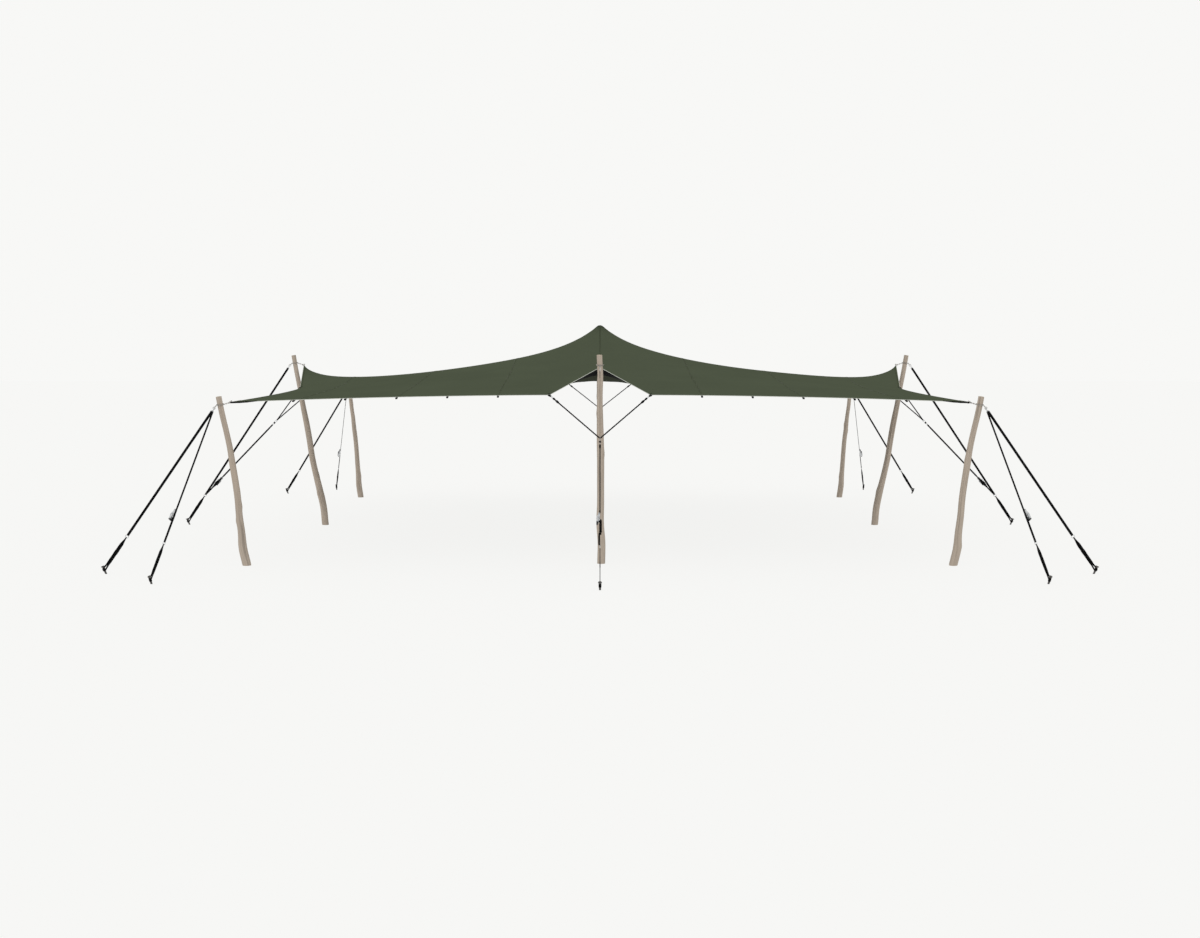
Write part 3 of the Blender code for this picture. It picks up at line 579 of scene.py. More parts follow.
    def build(self, name, materials, matrix=None, body="root", slot="steel", sharp=35):
        """Makes the object, moves its mesh to its place and lets it ride on a body."""
        mesh = bpy.data.meshes.new(name)
        mesh.from_pydata(self.verts, [], self.faces)
        layer = mesh.uv_layers.new(name="UVMap")
        layer.data.foreach_set("uv", np.array(self.uvs, dtype=np.float32).ravel())
        mesh.polygons.foreach_set("material_index", self.marks)
        for material in materials:
            mesh.materials.append(material)
        if matrix is not None:
            mesh.transform(matrix)
        bm = bmesh.new()
        bm.from_mesh(mesh)
        bmesh.ops.recalc_face_normals(bm, faces=bm.faces)
        bm.to_mesh(mesh)
        bm.free()
        mesh.shade_smooth()
        mesh.set_sharp_from_angle(angle=math.radians(sharp))
        thing = bpy.data.objects.new(name, mesh)
        bpy.context.scene.collection.objects.link(thing)
        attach(thing, body)
        return thing


# Canopy

def grid_lines():
    """Distances of the sheet's grid lines from the centre, close together near the pole and the hem."""
    low, high = 1.0, 3.0
    for _ in range(60):
        growth = (low + high) / 2
        reach = sum(FIRST_CELL * growth ** k for k in range(CENTRE_CELLS))
        low, high = (growth, high) if reach < BRIDLE_SIDE else (low, growth)
    lines = [0.0]
    for k in range(CENTRE_CELLS):
        lines.append(lines[-1] + FIRST_CELL * low ** k)
    lines[-1] = BRIDLE_SIDE
    lines += steps(BRIDLE_SIDE, MIDDLE_REACH - BRIDLE_SIDE, MIDDLE_CELLS)[1:]
    for share in steps(0, 1, OUTER_CELLS)[1:]:
        crowded = math.sin(math.pi / 2 * share)
        lines.append(MIDDLE_REACH + (CORNER_TIP - MIDDLE_REACH) * (share + (crowded - share) * HEM_CROWDING))
    return np.array(lines)


def hem_point(along):
    """Distance out and height of the hem at a distance along it from the middle tip."""
    if along <= BRIDLE_SIDE:
        share = along / BRIDLE_SIDE
        return MIDDLE_TIP + (BRIDLE_OUT - MIDDLE_TIP) * share, MIDDLE_TIP_Z + (BRIDLE_Z - MIDDLE_TIP_Z) * share
    share = (along - BRIDLE_SIDE) / (CORNER_TIP - BRIDLE_SIDE)
    arch = 4 * share * (1 - share)
    out = BRIDLE_OUT + (CORNER_TIP - BRIDLE_OUT) * share - HEM_SAG * arch
    return out, BRIDLE_Z + (CORNER_TIP_Z - BRIDLE_Z) * share + HEM_BULGE * arch


def sheet_heights(lines, hem):
    """Heights of a quarter of the sheet, from the balance of its tension at each node."""
    count = len(lines)
    reach = np.zeros(count)
    reach[1:-1] = (lines[2:] - lines[:-2]) / 2
    reach[0] = (lines[1] - lines[0]) / 2
    reach[-1] = (lines[-1] - lines[-2]) / 2
    index = np.arange(count * count).reshape(count, count)
    balance = np.zeros((count * count, count * count))
    load = (UPLIFT * reach[:, None] * reach[None, :]).ravel()
    across, deep = np.meshgrid(lines, lines, indexing="ij")
    x, y = across.ravel(), deep.ravel()
    for first, second in ((index[:-1], index[1:]), (index[:, :-1], index[:, 1:])):
        here, there = first.ravel(), second.ravel()
        gap_x, gap_y = x[there] - x[here], y[there] - y[here]
        middle = np.hypot(x[here] + x[there], y[here] + y[there]) / 2
        stiffness = 1 + PATCH_STIFFNESS / np.maximum(middle, PATCH_CORE)
        width = np.where(gap_x > 0, reach[here % count], reach[here // count])
        pull = stiffness * width / (gap_x + gap_y)
        np.add.at(balance, (here, here), pull)
        np.add.at(balance, (there, there), pull)
        balance[here, there] -= pull
        balance[there, here] -= pull
    radius = np.hypot(across, deep)
    fixed = radius <= HEAD_SKIRT
    heights = np.zeros((count, count))
    heights[fixed] = HEAD_TOP_Z - HEAD_RADIUS + np.sqrt(HEAD_RADIUS ** 2 - radius[fixed] ** 2)
    heights[-1, :] = heights[:, -1] = [point[1] for point in hem]
    fixed[-1, :] = fixed[:, -1] = True
    free, held = index[~fixed], index[fixed]
    solved = heights.ravel()
    load = load[free] - balance[np.ix_(free, held)] @ solved[held]
    solved[free] = np.linalg.solve(balance[np.ix_(free, free)], load)
    return solved.reshape(count, count)


def fan(across, deep, tip, folds, reach, spread=0.6):
    """Creases that run inwards out of a tip where the sheet is pulled and fade away from it."""
    x, y = across - tip[0], deep - tip[1]
    distance = np.hypot(x, y)
    angle = np.arctan2(y, x) - math.atan2(-tip[1], -tip[0])
    angle = (angle + math.pi) % (2 * math.pi) - math.pi
    rise = 1 - np.exp(-(distance / 0.12) ** 2)
    wander = 0.5 * np.sin(distance * 3.1 + folds)
    return np.sin(angle * folds + wander) * rise * np.exp(-distance / reach) * np.exp(-(angle / spread) ** 2)


def sheet_grid():
    """Middle surface of the whole sheet, with its creases, as a grid of points and its nominal lines."""
    quarter = grid_lines()
    hem = [hem_point(along) for along in quarter]
    heights = sheet_heights(quarter, hem)
    lines = np.concatenate((-quarter[:0:-1], quarter))
    order = np.abs(np.arange(len(lines)) - (len(quarter) - 1))
    height = heights[np.ix_(order, order)]
    out = np.array([point[0] for point in hem])[order] - CORNER_TIP
    pull = np.sign(lines) * (lines / CORNER_TIP) ** 2
    across = lines[:, None] + pull[:, None] * out[None, :]
    deep = lines[None, :] + pull[None, :] * out[:, None]
    radius = np.hypot(across, deep)
    angle = np.arctan2(deep, across)
    crease = np.zeros_like(height)
    for x, y in ((-1, -1), (-1, 1), (1, -1), (1, 1)):
        crease += 0.010 * fan(across, deep, (x * CORNER_TIP, y * CORNER_TIP), 13, 1.1)
        for tip in ((x * BRIDLE_OUT, y * BRIDLE_SIDE), (x * BRIDLE_SIDE, y * BRIDLE_OUT)):
            crease += 0.007 * fan(across, deep, tip, 9, 0.55, 0.8)
    for x, y in ((1, 0), (-1, 0), (0, 1), (0, -1)):
        crease += 0.008 * fan(across, deep, (x * MIDDLE_TIP, y * MIDDLE_TIP), 11, 0.6, 0.5)
    gather = np.sin(18 * angle + 1.3 * np.sin(3 * angle)) * np.exp(-(radius / 0.55) ** 2)
    crease += 0.0045 * gather * np.clip((radius - 0.09) / 0.12, 0, 1)
    drift = 0.004 * np.sin(across * 2.3 + 1.1 * np.sin(deep * 1.7)) * np.sin(deep * 1.9 + 0.8)
    edge = np.clip(1 - np.maximum(np.abs(lines)[:, None], np.abs(lines)[None, :]) / CORNER_TIP, 0, 1)
    crease += drift * np.clip(edge * 8, 0, 1) * np.clip((radius - 0.3) / 0.8, 0, 1)
    calm = np.clip(edge * 40, 0.15, 1)
    return np.stack((across, deep, height + crease * calm), axis=-1), lines


SHEET, LINES = sheet_grid()
HALF_SHEET = SHEET_THICK / 2


def on_sheet(u, v):
    """A point of the sheet's middle surface at a nominal place."""
    i, j = (int(np.clip(np.searchsorted(LINES, w) - 1, 0, len(LINES) - 2)) for w in (u, v))
    s, t = ((w - LINES[k]) / (LINES[k + 1] - LINES[k]) for w, k in ((u, i), (v, j)))
    low = SHEET[i, j] * (1 - s) + SHEET[i + 1, j] * s
    high = SHEET[i, j + 1] * (1 - s) + SHEET[i + 1, j + 1] * s
    return Vector(low * (1 - t) + high * t)


def sheet_normal(u, v, step=0.012):
    limit = CORNER_TIP - step
    u, v = (max(-limit, min(limit, w)) for w in (u, v))
    across = on_sheet(u + step, v) - on_sheet(u - step, v)
    deep = on_sheet(u, v + step) - on_sheet(u, v - step)
    return across.cross(deep).normalized()


def make_sheet():
    """The canopy as one continuous sheet: lit top, underside darkened as painted shade, black band of painted
    shade by the hem.
    """
    count = len(LINES)
    slopes = [np.gradient(SHEET[:, :, 2], LINES, axis=axis) for axis in (0, 1)]
    lift = HALF_SHEET * np.sqrt(1 + slopes[0] ** 2 + slopes[1] ** 2)
    shape = Shape()
    for side in (1, -1):
        layer = SHEET.copy()
        layer[:, :, 2] += side * lift
        shape.verts.extend(layer.reshape(-1, 3).tolist())
    size, last = count * count, count - 1
    for i in range(last):
        for j in range(last):
            corners = (i * count + j, (i + 1) * count + j, (i + 1) * count + j + 1, i * count + j + 1)
            uvs = [(LINES[c // count], LINES[c % count]) for c in corners]
            shape.quad(corners, uvs, 0)
            # The underside is split along the same diagonal as the top, so that the two never cross
            below = (0, 3, 2, 1)
            # Underside quads next to the hem take the black third material: a band of painted shade beneath
            # the hem.
            along = min(abs(LINES[k:k + 2]).max() for k in (i, j))
            inset = min(i, j, last - 1 - i, last - 1 - j)
            banded = inset < (3 if along < BRIDLE_SIDE + 0.001 else 2)
            shape.quad(tuple(size + corners[c] for c in below), [uvs[c] for c in below], 2 if banded else 1)
    edge = [(k, 0) for k in range(last)] + [(last, k) for k in range(last)]
    edge += [(k, last) for k in range(last, 0, -1)] + [(0, k) for k in range(last, 0, -1)]
    for (i, j), (k, m) in zip(edge, edge[1:] + edge[:1]):
        here, there = i * count + j, k * count + m
        shape.quad((here, size + here, size + there, there),
                   ((0, 0), (0, 0.002), (0.002, 0.002), (0.002, 0)), 0)
    return shape.build("canopy_sheet", [CANVAS, SHADED_UNDERSIDE, SLEEVE_AND_SHADE_BAND], slot="canopy", sharp=60)


def ribbon(shape, places, width, rise, thick, mark=0):
    """A strip that lies on the sheet along nominal places, with its section laid across its own path."""
    points = [on_sheet(u, v) for u, v in places]
    base = len(shape.verts)
    for k, (u, v) in enumerate(places):
        normal = sheet_normal(u, v)
        way = points[min(k + 1, len(points) - 1)] - points[max(k - 1, 0)]
        across = normal.cross(way).normalized() * width / 2
        for a, b in ((-1, 0), (-0.85, 1), (0.85, 1), (1, 0)):
            shape.verts.append(points[k] + across * a + normal * (rise + thick * b))
    travelled = 0.0
    for k in range(len(places) - 1):
        here, step = base + 4 * k, (points[k + 1] - points[k]).length
        girth = [j * width / 3 for j in range(5)]
        shape.band(here, here + 4, 4, girth, (travelled, travelled + step), mark)
        travelled += step
    for start, order in ((base, (3, 2, 1, 0)), (base + 4 * (len(places) - 1), (0, 1, 2, 3))):
        shape.quad(tuple(start + j for j in order), ((0, 0),) * 4, mark)


def make_seams():
    """Felled seams between the fabric's panels, on both faces, with two rows of dark thread."""
    shape = Shape()
    spots = np.linspace(-CORNER_TIP + 0.012, CORNER_TIP - 0.012, STRIP_PLACES)
    for seam in sorted({side * place for place in SEAMS for side in (-1, 1)}):
        places = [(seam, v) for v in spots]
        ribbon(shape, places, SEAM_WIDTH, HALF_SHEET - 0.0003, 0.0016)
        # The seam's lower strip takes the underside's painted shade.
        ribbon(shape, places, SEAM_WIDTH, -HALF_SHEET - 0.0010, 0.0012, 2)
        for offset in (-0.009, 0.009):
            ribbon(shape, [(seam + offset, v) for v in spots], THREAD_WIDTH, HALF_SHEET + 0.0010,
                   THREAD_HEIGHT, 1)
    return shape.build("canopy_seams", [HEM, THREAD, SHADED_UNDERSIDE], slot="canopy")


# The hem's section, as inset and height above the sheet, round the fold and the bead; marks name materials
HEM_FOLD = CORNER_TIP - LINES[-2]
HEM_SECTION = ((HEM_FOLD + 0.001, 0.0), (HEM_FOLD, 0.0014), (0.003, 0.0014), (0.000, 0.0024),
               (-0.0022, 0.0018), (-0.0032, 0.0001), (-0.0022, -0.0018), (0.000, -0.0026),
               (0.003, -0.0018), (HEM_FOLD, -0.0012),
               (HEM_FOLD + 0.001, -0.0001))
# Mark 2 puts black webbing on the hem's lower face: painted shade beneath the hem.
HEM_MARKS = (0, 0, 3, 3, 3, 3, 3, 3, 2, 2, 0)


def hem_place(side, value, inset):
    """Nominal place at a distance along one of the four hems and an inset from it."""
    reach = CORNER_TIP - inset
    value = max(-reach, min(reach, value))
    return ((value, -reach), (reach, value), (-value, reach), (-reach, -value))[side]


def hem_station(side, value):
    """The hem's section at one place: each point lies on the sheet at its own inset."""
    edge = on_sheet(*hem_place(side, value, 0.0))
    inward = (on_sheet(*hem_place(side, value, HEM_FOLD)) - edge).normalized()
    points = []
    for inset, height in HEM_SECTION:
        here = hem_place(side, value, max(inset, 0.0))
        rise = sheet_normal(*here) * (height + math.copysign(HALF_SHEET, height))
        points.append(on_sheet(*here) + inward * min(inset, 0.0) + rise)
    return points


def make_hem():
    """A folded hem with a pale edge bead, a black lower face as painted shade, and black straps and webbing at
    each corner.
    """
    shape = Shape()
    count, last = len(HEM_SECTION), len(LINES) - 1
    for side, outward in enumerate(((0, -1, 0), (1, 0, 0), (0, 1, 0), (-1, 0, 0))):
        base = len(shape.verts)
        for value in LINES:
            shape.verts.extend(hem_station(side, value))
        travelled = 0.0
        for k in range(last):
            here = base + count * k
            step = (shape.verts[here + count + 3] - shape.verts[here + 3]).length
            shape.band(here, here + count, count, [j * 0.012 for j in range(count + 1)],
                       (travelled, travelled + step), HEM_MARKS)
            travelled += step
        for start, order in ((base, range(count - 1, -1, -1)), (base + count * last, range(count))):
            shape.quad(tuple(start + j for j in order), ((0, 0),) * count, 0)
        for inset in (0.008, 0.028):
            reach = CORNER_TIP - inset
            places = [hem_place(side, value, inset) for value in np.linspace(-reach, reach, STRIP_PLACES)]
            ribbon(shape, places, THREAD_WIDTH, HALF_SHEET + 0.0012, THREAD_HEIGHT, 1)
        for end in (-1, 1):
            path = [on_sheet(*hem_place(side, end * (CORNER_TIP - along), 0.0)) + Vector(outward) * 0.006
                    - Vector((0, 0, tall / 2 - 0.005)) for along, tall, _ in TIP_STRAP]
            shape.sweep(path, [strap(tall, thick * 2) for _, tall, thick in TIP_STRAP], 2, outward)
    for x, y in ((-1, -1), (-1, 1), (1, -1), (1, 1)):
        tip = on_sheet(x * CORNER_TIP, y * CORNER_TIP)
        run = [tip + Vector((-x * r, -y * r, -0.012 - 0.02 * r)) for r in (0.10, 0.05, 0.0, -0.012, -0.024)]
        shape.sweep(run, [strap(wide, 0.005) for wide in (0.034, 0.034, 0.030, 0.026, 0.022)], 2, (0, 0, 1))
    return shape.build("canopy_hem", [HEM, THREAD, STRAP_AND_HEM_SHADE, PIPING], slot="canopy")


def make_loops():
    """Webbing loops sewn under the hem at even spaces, each a folded strap that hangs a little."""
    shape = Shape()
    near, far, aside = 0.020, 0.044, 0.009
    for side in range(4):
        turn = Matrix.Rotation(side * math.pi / 2, 4, "Z")
        for number in range(-6, 7):
            along = number * LOOP_STEP
            if number == 0 or abs(abs(along) - BRIDLE_SIDE) < 0.05:
                continue
            edge = on_sheet(along, -CORNER_TIP)
            inward = (on_sheet(along, -CORNER_TIP + 0.05) - edge).normalized()

            def below(inset, drop, sideways=0.0):
                return turn @ (edge + inward * inset + Vector((sideways, 0, -drop)))

            path = [below(0.046, 0.0045), below(0.02, 0.0046)]
            for angle in steps(0, math.pi, 8):
                path.append(below(-0.030 - 0.016 * math.sin(angle), 0.016 - 0.010 * math.cos(angle)))
            path += [below(0.02, 0.0085), below(0.046, 0.0078)]
            shape.sweep(path, strap(0.026, 0.0018), 0, turn @ Vector((0, 0, 1)))
            shape.stitches([(below(a, 0.0098, b), below(c, 0.0094, d))
                            for a, b, c, d in ((near, -aside, far, -aside), (near, aside, far, aside),
                                               (near, -aside, far, aside), (far, -aside, near, aside))],
                           length=0.004, gap=0.002)
    return shape.build("canopy_loops", [STRAP_AND_HEM_SHADE, STITCH], slot="webbing")


# Poles

def smooth(values, share):
    """Smooth curve through values at even steps."""
    place = share * (len(values) - 1)
    k = min(int(place), len(values) - 2)
    t = place - k
    a, b, c, d = (values[0], *values, values[-1])[k:k + 4]
    return b + t * ((c - a) / 2 + t * ((a - 2.5 * b + 2 * c - d / 2) + t * (1.5 * (b - c) + (d - a) / 2)))


class Trunk:
    """A crooked trunk's centre line and girth."""

    def __init__(self, foot, top, girth, bows):
        self.foot, self.top, self.girth, self.bows = Vector(foot), Vector(top), girth, bows

    def at(self, share):
        """Centre and radius at a share of the length."""
        point = self.foot.lerp(self.top, share)
        for direction, strays in self.bows:
            point = point + Vector(direction) * smooth(strays, share) / 1000
        return point, smooth(self.girth, share) / 2000

    def at_height(self, height):
        low, high = 0.0, 1.0
        for _ in range(30):
            middle = (low + high) / 2
            low, high = (middle, high) if self.at(middle)[0].z < height else (low, middle)
        return self.at(low)


def make_trunk(name, trunk, seed, level_top=False):
    """The trunk as wood: ridges and hollows along it, knots, a level butt and a sawn top."""
    lean = trunk.top - trunk.foot
    length = lean.length
    knots = [(random.uniform(0.08, 0.92), random.uniform(0, 2 * math.pi), random.uniform(0.6, 1.0))
             for _ in range(7)]
    place = aimed(trunk.foot, lean)
    local = place.inverted()
    shape = Shape()
    last = POLE_RINGS - 1
    for ring in range(POLE_RINGS):
        share = ring / last
        centre, radius = trunk.at(share)
        centre = local @ centre
        for k in range(POLE_SIDES):
            angle = 2 * math.pi * k / POLE_SIDES
            x, y = math.cos(angle), math.sin(angle)
            flow = noise.noise(Vector((x * 1.3 + seed * 5, y * 1.3, share * length * 0.9)))
            fine = noise.noise(Vector((x * 6, y * 6 + seed * 3, share * length * 1.5)))
            size = radius * (1 + 0.055 * flow + 0.022 * fine)
            for along, turn, strength in knots:
                away = (angle - turn + math.pi) % (2 * math.pi) - math.pi
                reach = (share - along) * length / 0.055
                size += 0.009 * strength * math.exp(-reach ** 2 - (away / 0.5) ** 2)
            spot = place @ (centre + Vector((size * x, size * y, 0)))
            if ring == 0:
                spot.z = 0.0
            elif ring == last and level_top:
                spot.z = trunk.top.z
            shape.verts.append(Vector((spot.x, spot.y, max(spot.z, 0.0))))
    across = [k / POLE_SIDES for k in range(POLE_SIDES + 1)]
    for ring in range(last):
        along = [seed * 4 + length * (ring + step) / last for step in (0, 1)]
        shape.band(ring * POLE_SIDES, (ring + 1) * POLE_SIDES, POLE_SIDES, across, along, 0)
    for start in (0, last * POLE_SIDES):
        shape.quad(tuple(range(start, start + POLE_SIDES)), circle(0.04, POLE_SIDES), 1)
    return shape.build(name, [WOOD, SAWN], slot="wood", sharp=50)


def make_poles():
    """All nine poles; returns the trunks that carry chains."""
    trunks = {}
    for place, (x, y) in CORNERS.items():
        bows = (FRONT_CORNER_BOW, BACK_CORNER_BOW) if y < 0 else (BACK_CORNER_BOW, FRONT_CORNER_BOW)
        trunks[place] = Trunk((x * CORNER_FOOT, y * CORNER_FOOT, 0),
                              (x * CORNER_TOP, y * CORNER_TOP, CORNER_TOP_Z),
                              CORNER_GIRTH, list(zip(((-x, 0, 0), (0, -y, 0)), bows)))
    for order, place in enumerate(QUARTER_TURNS):
        turn = Matrix.Rotation(order * math.pi / 2, 3, "Z")
        inward, sideways = HAND[place]
        bows = [(turn @ Vector((-inward, 0, 0)), INWARD_BOW), (turn @ Vector((0, sideways, 0)), SIDEWAYS_BOW)]
        trunks[place] = Trunk(turn @ Vector((MIDDLE_FOOT, 0, 0)),
                              turn @ Vector((MIDDLE_TOP, 0, MIDDLE_TOP_Z)),
                              MIDDLE_GIRTH, bows)
    for seed, (place, trunk) in enumerate(trunks.items()):
        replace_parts(make_trunk("trunk_" + place, trunk, seed), "pole_" + place)
    collar_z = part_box("centre_pole")[1].z
    bows = [((1, 0, 0), CENTRE_BOW), ((0, 1, 0), CENTRE_BOW[::-1])]
    centre = Trunk((0, 0, 0), (0, 0, collar_z), CENTRE_GIRTH, bows)
    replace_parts(make_trunk("trunk_centre", centre, CENTRE_SEED, level_top=True), "centre_pole")
    return trunks


# Chains, stays, stakes and bridles

def make_chain(name, trunk, tip, hook, height, side):
    """Real links: a loop round the pole, a run to the canopy's tip and a run to the stay's hook."""
    centre, radius = trunk.at_height(height)
    shape = Shape()
    outer = radius + 0.0075
    count = int(round(2 * math.pi * outer / (LINK_PITCH * 0.80) / 2) * 2)
    axis = (trunk.top - trunk.foot).normalized()
    for k in range(count):
        angle = 2 * math.pi * (k + 0.5) / count
        out = Vector((math.cos(angle), math.sin(angle), 0))
        spot = centre + out * outer
        spot.z += 0.004 * math.sin(angle * 2)
        along = Vector((-math.sin(angle), math.cos(angle), 0))
        spot -= axis * (spot - centre).dot(axis)
        face = out if k % 2 else along.cross(out)
        place = Matrix.Translation(spot) @ Matrix((along, face.cross(along), face)).transposed().to_4x4()
        shape.link(place, LINK_PITCH, LINK_WIDTH * 1.5, LINK_WIRE)
    flat = centre - tip
    flat.z = 0
    away = flat.normalized() * (outer + 0.004)
    for start, end, short in ((centre - away, tip, 0.012), (centre + away, hook, 0.014)):
        end = end + (start - end).normalized() * short
        reach = (end - start).length
        links = max(1, round(reach / (LINK_PITCH * 0.78)))
        base = line_frame(start, end, side)
        for k in range(links):
            roll = Matrix.Rotation(math.pi / 2 * (k % 2), 4, "X")
            middle = Matrix.Translation((reach * (k + 0.5) / links, 0, 0))
            shape.link(base @ middle @ roll, reach / links + 2.2 * LINK_WIRE, LINK_WIDTH * 1.45, LINK_WIRE)
    shape.ring(line_frame(hook, centre, side), 0.016, 0.0042)
    bow = line_frame(tip, centre, side)
    horse = [at(bow, PIN_AT, -0.011)]
    for k in range(11):
        angle = math.pi * (k / 10 - 0.5)
        horse.append(at(bow, 0.010 + 0.013 * math.cos(angle), 0.012 * math.sin(angle)))
    horse.append(at(bow, PIN_AT, 0.011))
    shape.sweep(horse, circle(0.0038))
    shape.bar(at(bow, PIN_AT, -0.021), at(bow, PIN_AT, 0.020), 0.0042)
    nut = line_frame(at(bow, PIN_AT, 0.017), at(bow, PIN_AT, 0.03), side)
    shape.lathe([(0.005, 0), (0.008, 0.001), (0.008, 0.006), (0.005, 0.007)],
                nut @ Matrix.Rotation(math.pi / 2, 4, "Y"), 6)
    return shape.build(name, [CHAIN])


def claw_hook(shape, frame, reach):
    """A forged hook whose throat holds a ring at the frame's origin, with its shank along X."""
    path = [(reach, 0), (0.038, 0), (0.028, 0.004), (0.018, 0.012)]
    for k in range(10, -1, -1):
        angle = math.radians(-150 + 290 * k / 14)
        path.append((-0.001 + 0.0155 * math.cos(angle), 0.0155 * math.sin(angle)))
    sizes = [0.0042] * 4 + [0.0052] * 8 + [0.0044, 0.0036, 0.002]
    shape.sweep([at(frame, *point) for point in path], [circle(size) for size in sizes], 0, upward(frame))
    shape.bar(at(frame, reach, -0.018), at(frame, reach, 0.018), 0.0035, 8)
    for side in (-1, 1):
        shape.bar(at(frame, reach - 0.016, side * 0.004), at(frame, reach, side * 0.018), 0.0030, 8)


def box_stitch(frame, start, end, half, height):
    """Rows of a sewn box with its cross."""
    rows = (((start, -half), (end, -half)), ((start, half), (end, half)), ((start, -half), (start, half)),
            ((end, -half), (end, half)), ((start, -half), (end, half)), ((end, -half), (start, half)))
    return [(at(frame, *first, height), at(frame, *last, height)) for first, last in rows]


def stake_axis(ground, hook):
    out = Vector((ground.x - hook.x, ground.y - hook.y, 0)).normalized()
    return (out * math.sin(STAKE_LEAN) + Vector((0, 0, math.cos(STAKE_LEAN)))).normalized()


def strap_run(shape, frame, start, end, width, thick=WEBBING_THICK, lift=0.0, mark=0):
    """A taut length of webbing along the frame's X axis."""
    count = max(3, int((end - start) / 0.06))
    shape.sweep([at(frame, x, 0, lift) for x in steps(start, end - start, count)], strap(width, thick), mark,
                upward(frame))


def sling(shape, start, ground, hook, side, deep, mark=0):
    """A soft round sling: two sleeved legs from the ring that part round the stake, with a band round it."""
    axis = stake_axis(ground, hook)
    grip = ground + axis * (STRAP_FOOT_Z / axis.z)
    frame = line_frame(start, grip, side)
    length = (grip - start).length
    round_stake = STAKE_RADIUS + 0.0055
    stations = []
    for share in steps(0, 1, 25):
        swell = min(1.0, share / 0.22) * min(1.0, (1 - share) / 0.5 + 0.55)
        gap = SLING_GAP * swell
        if share >= SLING_FORK:
            gap = SLING_GAP + (round_stake - SLING_GAP) * ((share - SLING_FORK) / (1 - SLING_FORK)) ** 1.4
        section = ellipse(0.0045 + 0.0085 * swell, 0.0045 + (deep - 0.0045) * swell * (1 - share ** 6))
        stations.append((0.016 + (length - 0.016) * share, max(0.004, gap), section))
    path = [at(frame, x, -gap) for x, gap, _ in stations]
    sections = [section for _, _, section in stations]
    for k in range(1, 8):
        angle = -math.pi / 2 + math.pi * k / 8
        path.append(at(frame, length + round_stake * math.cos(angle), round_stake * math.sin(angle)))
        sections.append(ellipse(0.0055, 0.0085))
    path += [at(frame, x, gap) for x, gap, _ in reversed(stations)] + [at(frame, 0.010)]
    sections += [section for _, _, section in reversed(stations)] + [ellipse(0.0045, 0.0058)]
    shape.sweep(path, sections, mark, upward(frame), closed=True)
    strap_run(shape, frame, length * 0.42, length * 0.42 + 0.055, 0.053, 2 * deep + 0.003, 0, mark)
    shape.sweep([grip + axis * (0.023 * step) for step in (-1, 0, 1)], circle(round_stake, 16), mark)


def make_stay(names, hook, ring_at, ground, side, ratchet, doubled, matrices):
    """Hook, webbing, ring and sling of a stay; copies go to each named place."""
    frame = line_frame(hook, ring_at, side)
    length = (ring_at - hook).length
    cloth, metal = Shape(), Shape()
    claw_hook(metal, frame, 0.058)
    metal.ring(line_frame(ring_at, hook, side), RING_RADIUS, RING_WIRE, 24)
    spool_at = RATCHET_SHARE * (ground - hook).length
    start, end = 0.0545, length - RING_RADIUS - 0.001
    strap_run(cloth, frame, start, end, WEBBING)
    fold = [at(frame, start + 0.105 * s, 0, 0.0028 + (0.0012 if s < 1 else 0.0)) for s in (0.0, 0.5, 1.0)]
    cloth.sweep(fold, strap(WEBBING), 0, upward(frame))
    for height in (0.0058, -0.0018):
        cloth.stitches(box_stitch(frame, 0.075, 0.145, 0.012, height))
    for lift in (0.0030, -0.0030) if doubled else (0.0030,):
        strap_run(cloth, frame, spool_at if doubled else length - 0.16, end, WEBBING - 0.001, lift=lift)
    bight = []
    for k in range(9):
        angle = math.pi * (k / 8 - 0.5)
        bight.append(at(frame, end + (RING_WIRE + 0.0020) * 1.25 * math.cos(angle), 0,
                        (RING_WIRE + 0.0020) * math.sin(angle)))
    cloth.sweep(bight, strap(WEBBING - 0.006), 0, upward(frame))
    height = 0.0048 if doubled else 0.0050
    for face in (height, -height):
        cloth.stitches(box_stitch(frame, end - 0.085, end - 0.015, 0.011, face))
    sling(cloth, ring_at, ground, hook, side, 0.0125 if doubled else 0.0048, 2)
    if ratchet:
        ratchet_frame(metal, cloth, frame, spool_at)
    for name, matrix in zip(names, matrices):
        web = cloth.build(name + "_webbing", [STRAP_AND_HEM_SHADE, STITCH, SLEEVE_AND_SHADE_BAND], matrix, slot="webbing")
        metal.build(name + "_fittings", [ZINC], matrix)
        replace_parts(web, name)


def rounded(points, radius):
    """An outline with its corners rounded."""
    result = []
    count = len(points)
    for k in range(count):
        before, here, after = (Vector(points[(k + s) % count]) for s in (-1, 0, 1))
        back, ahead = before - here, after - here
        cut = min(radius, back.length * 0.45, ahead.length * 0.45)
        first, last = here + back.normalized() * cut, here + ahead.normalized() * cut
        for t in steps(0, 1, 3):
            point = first.lerp(here, t).lerp(here.lerp(last, t), t)
            result.append((point.x, point.y))
    return result


def tab_plate(shape, frame, low, high, half, thick):
    """A rounded plate across a frame, from one X to another."""
    shape.plate(rounded([(low, -half), (high, -half), (high, half), (low, half)], 0.003), thick, frame)


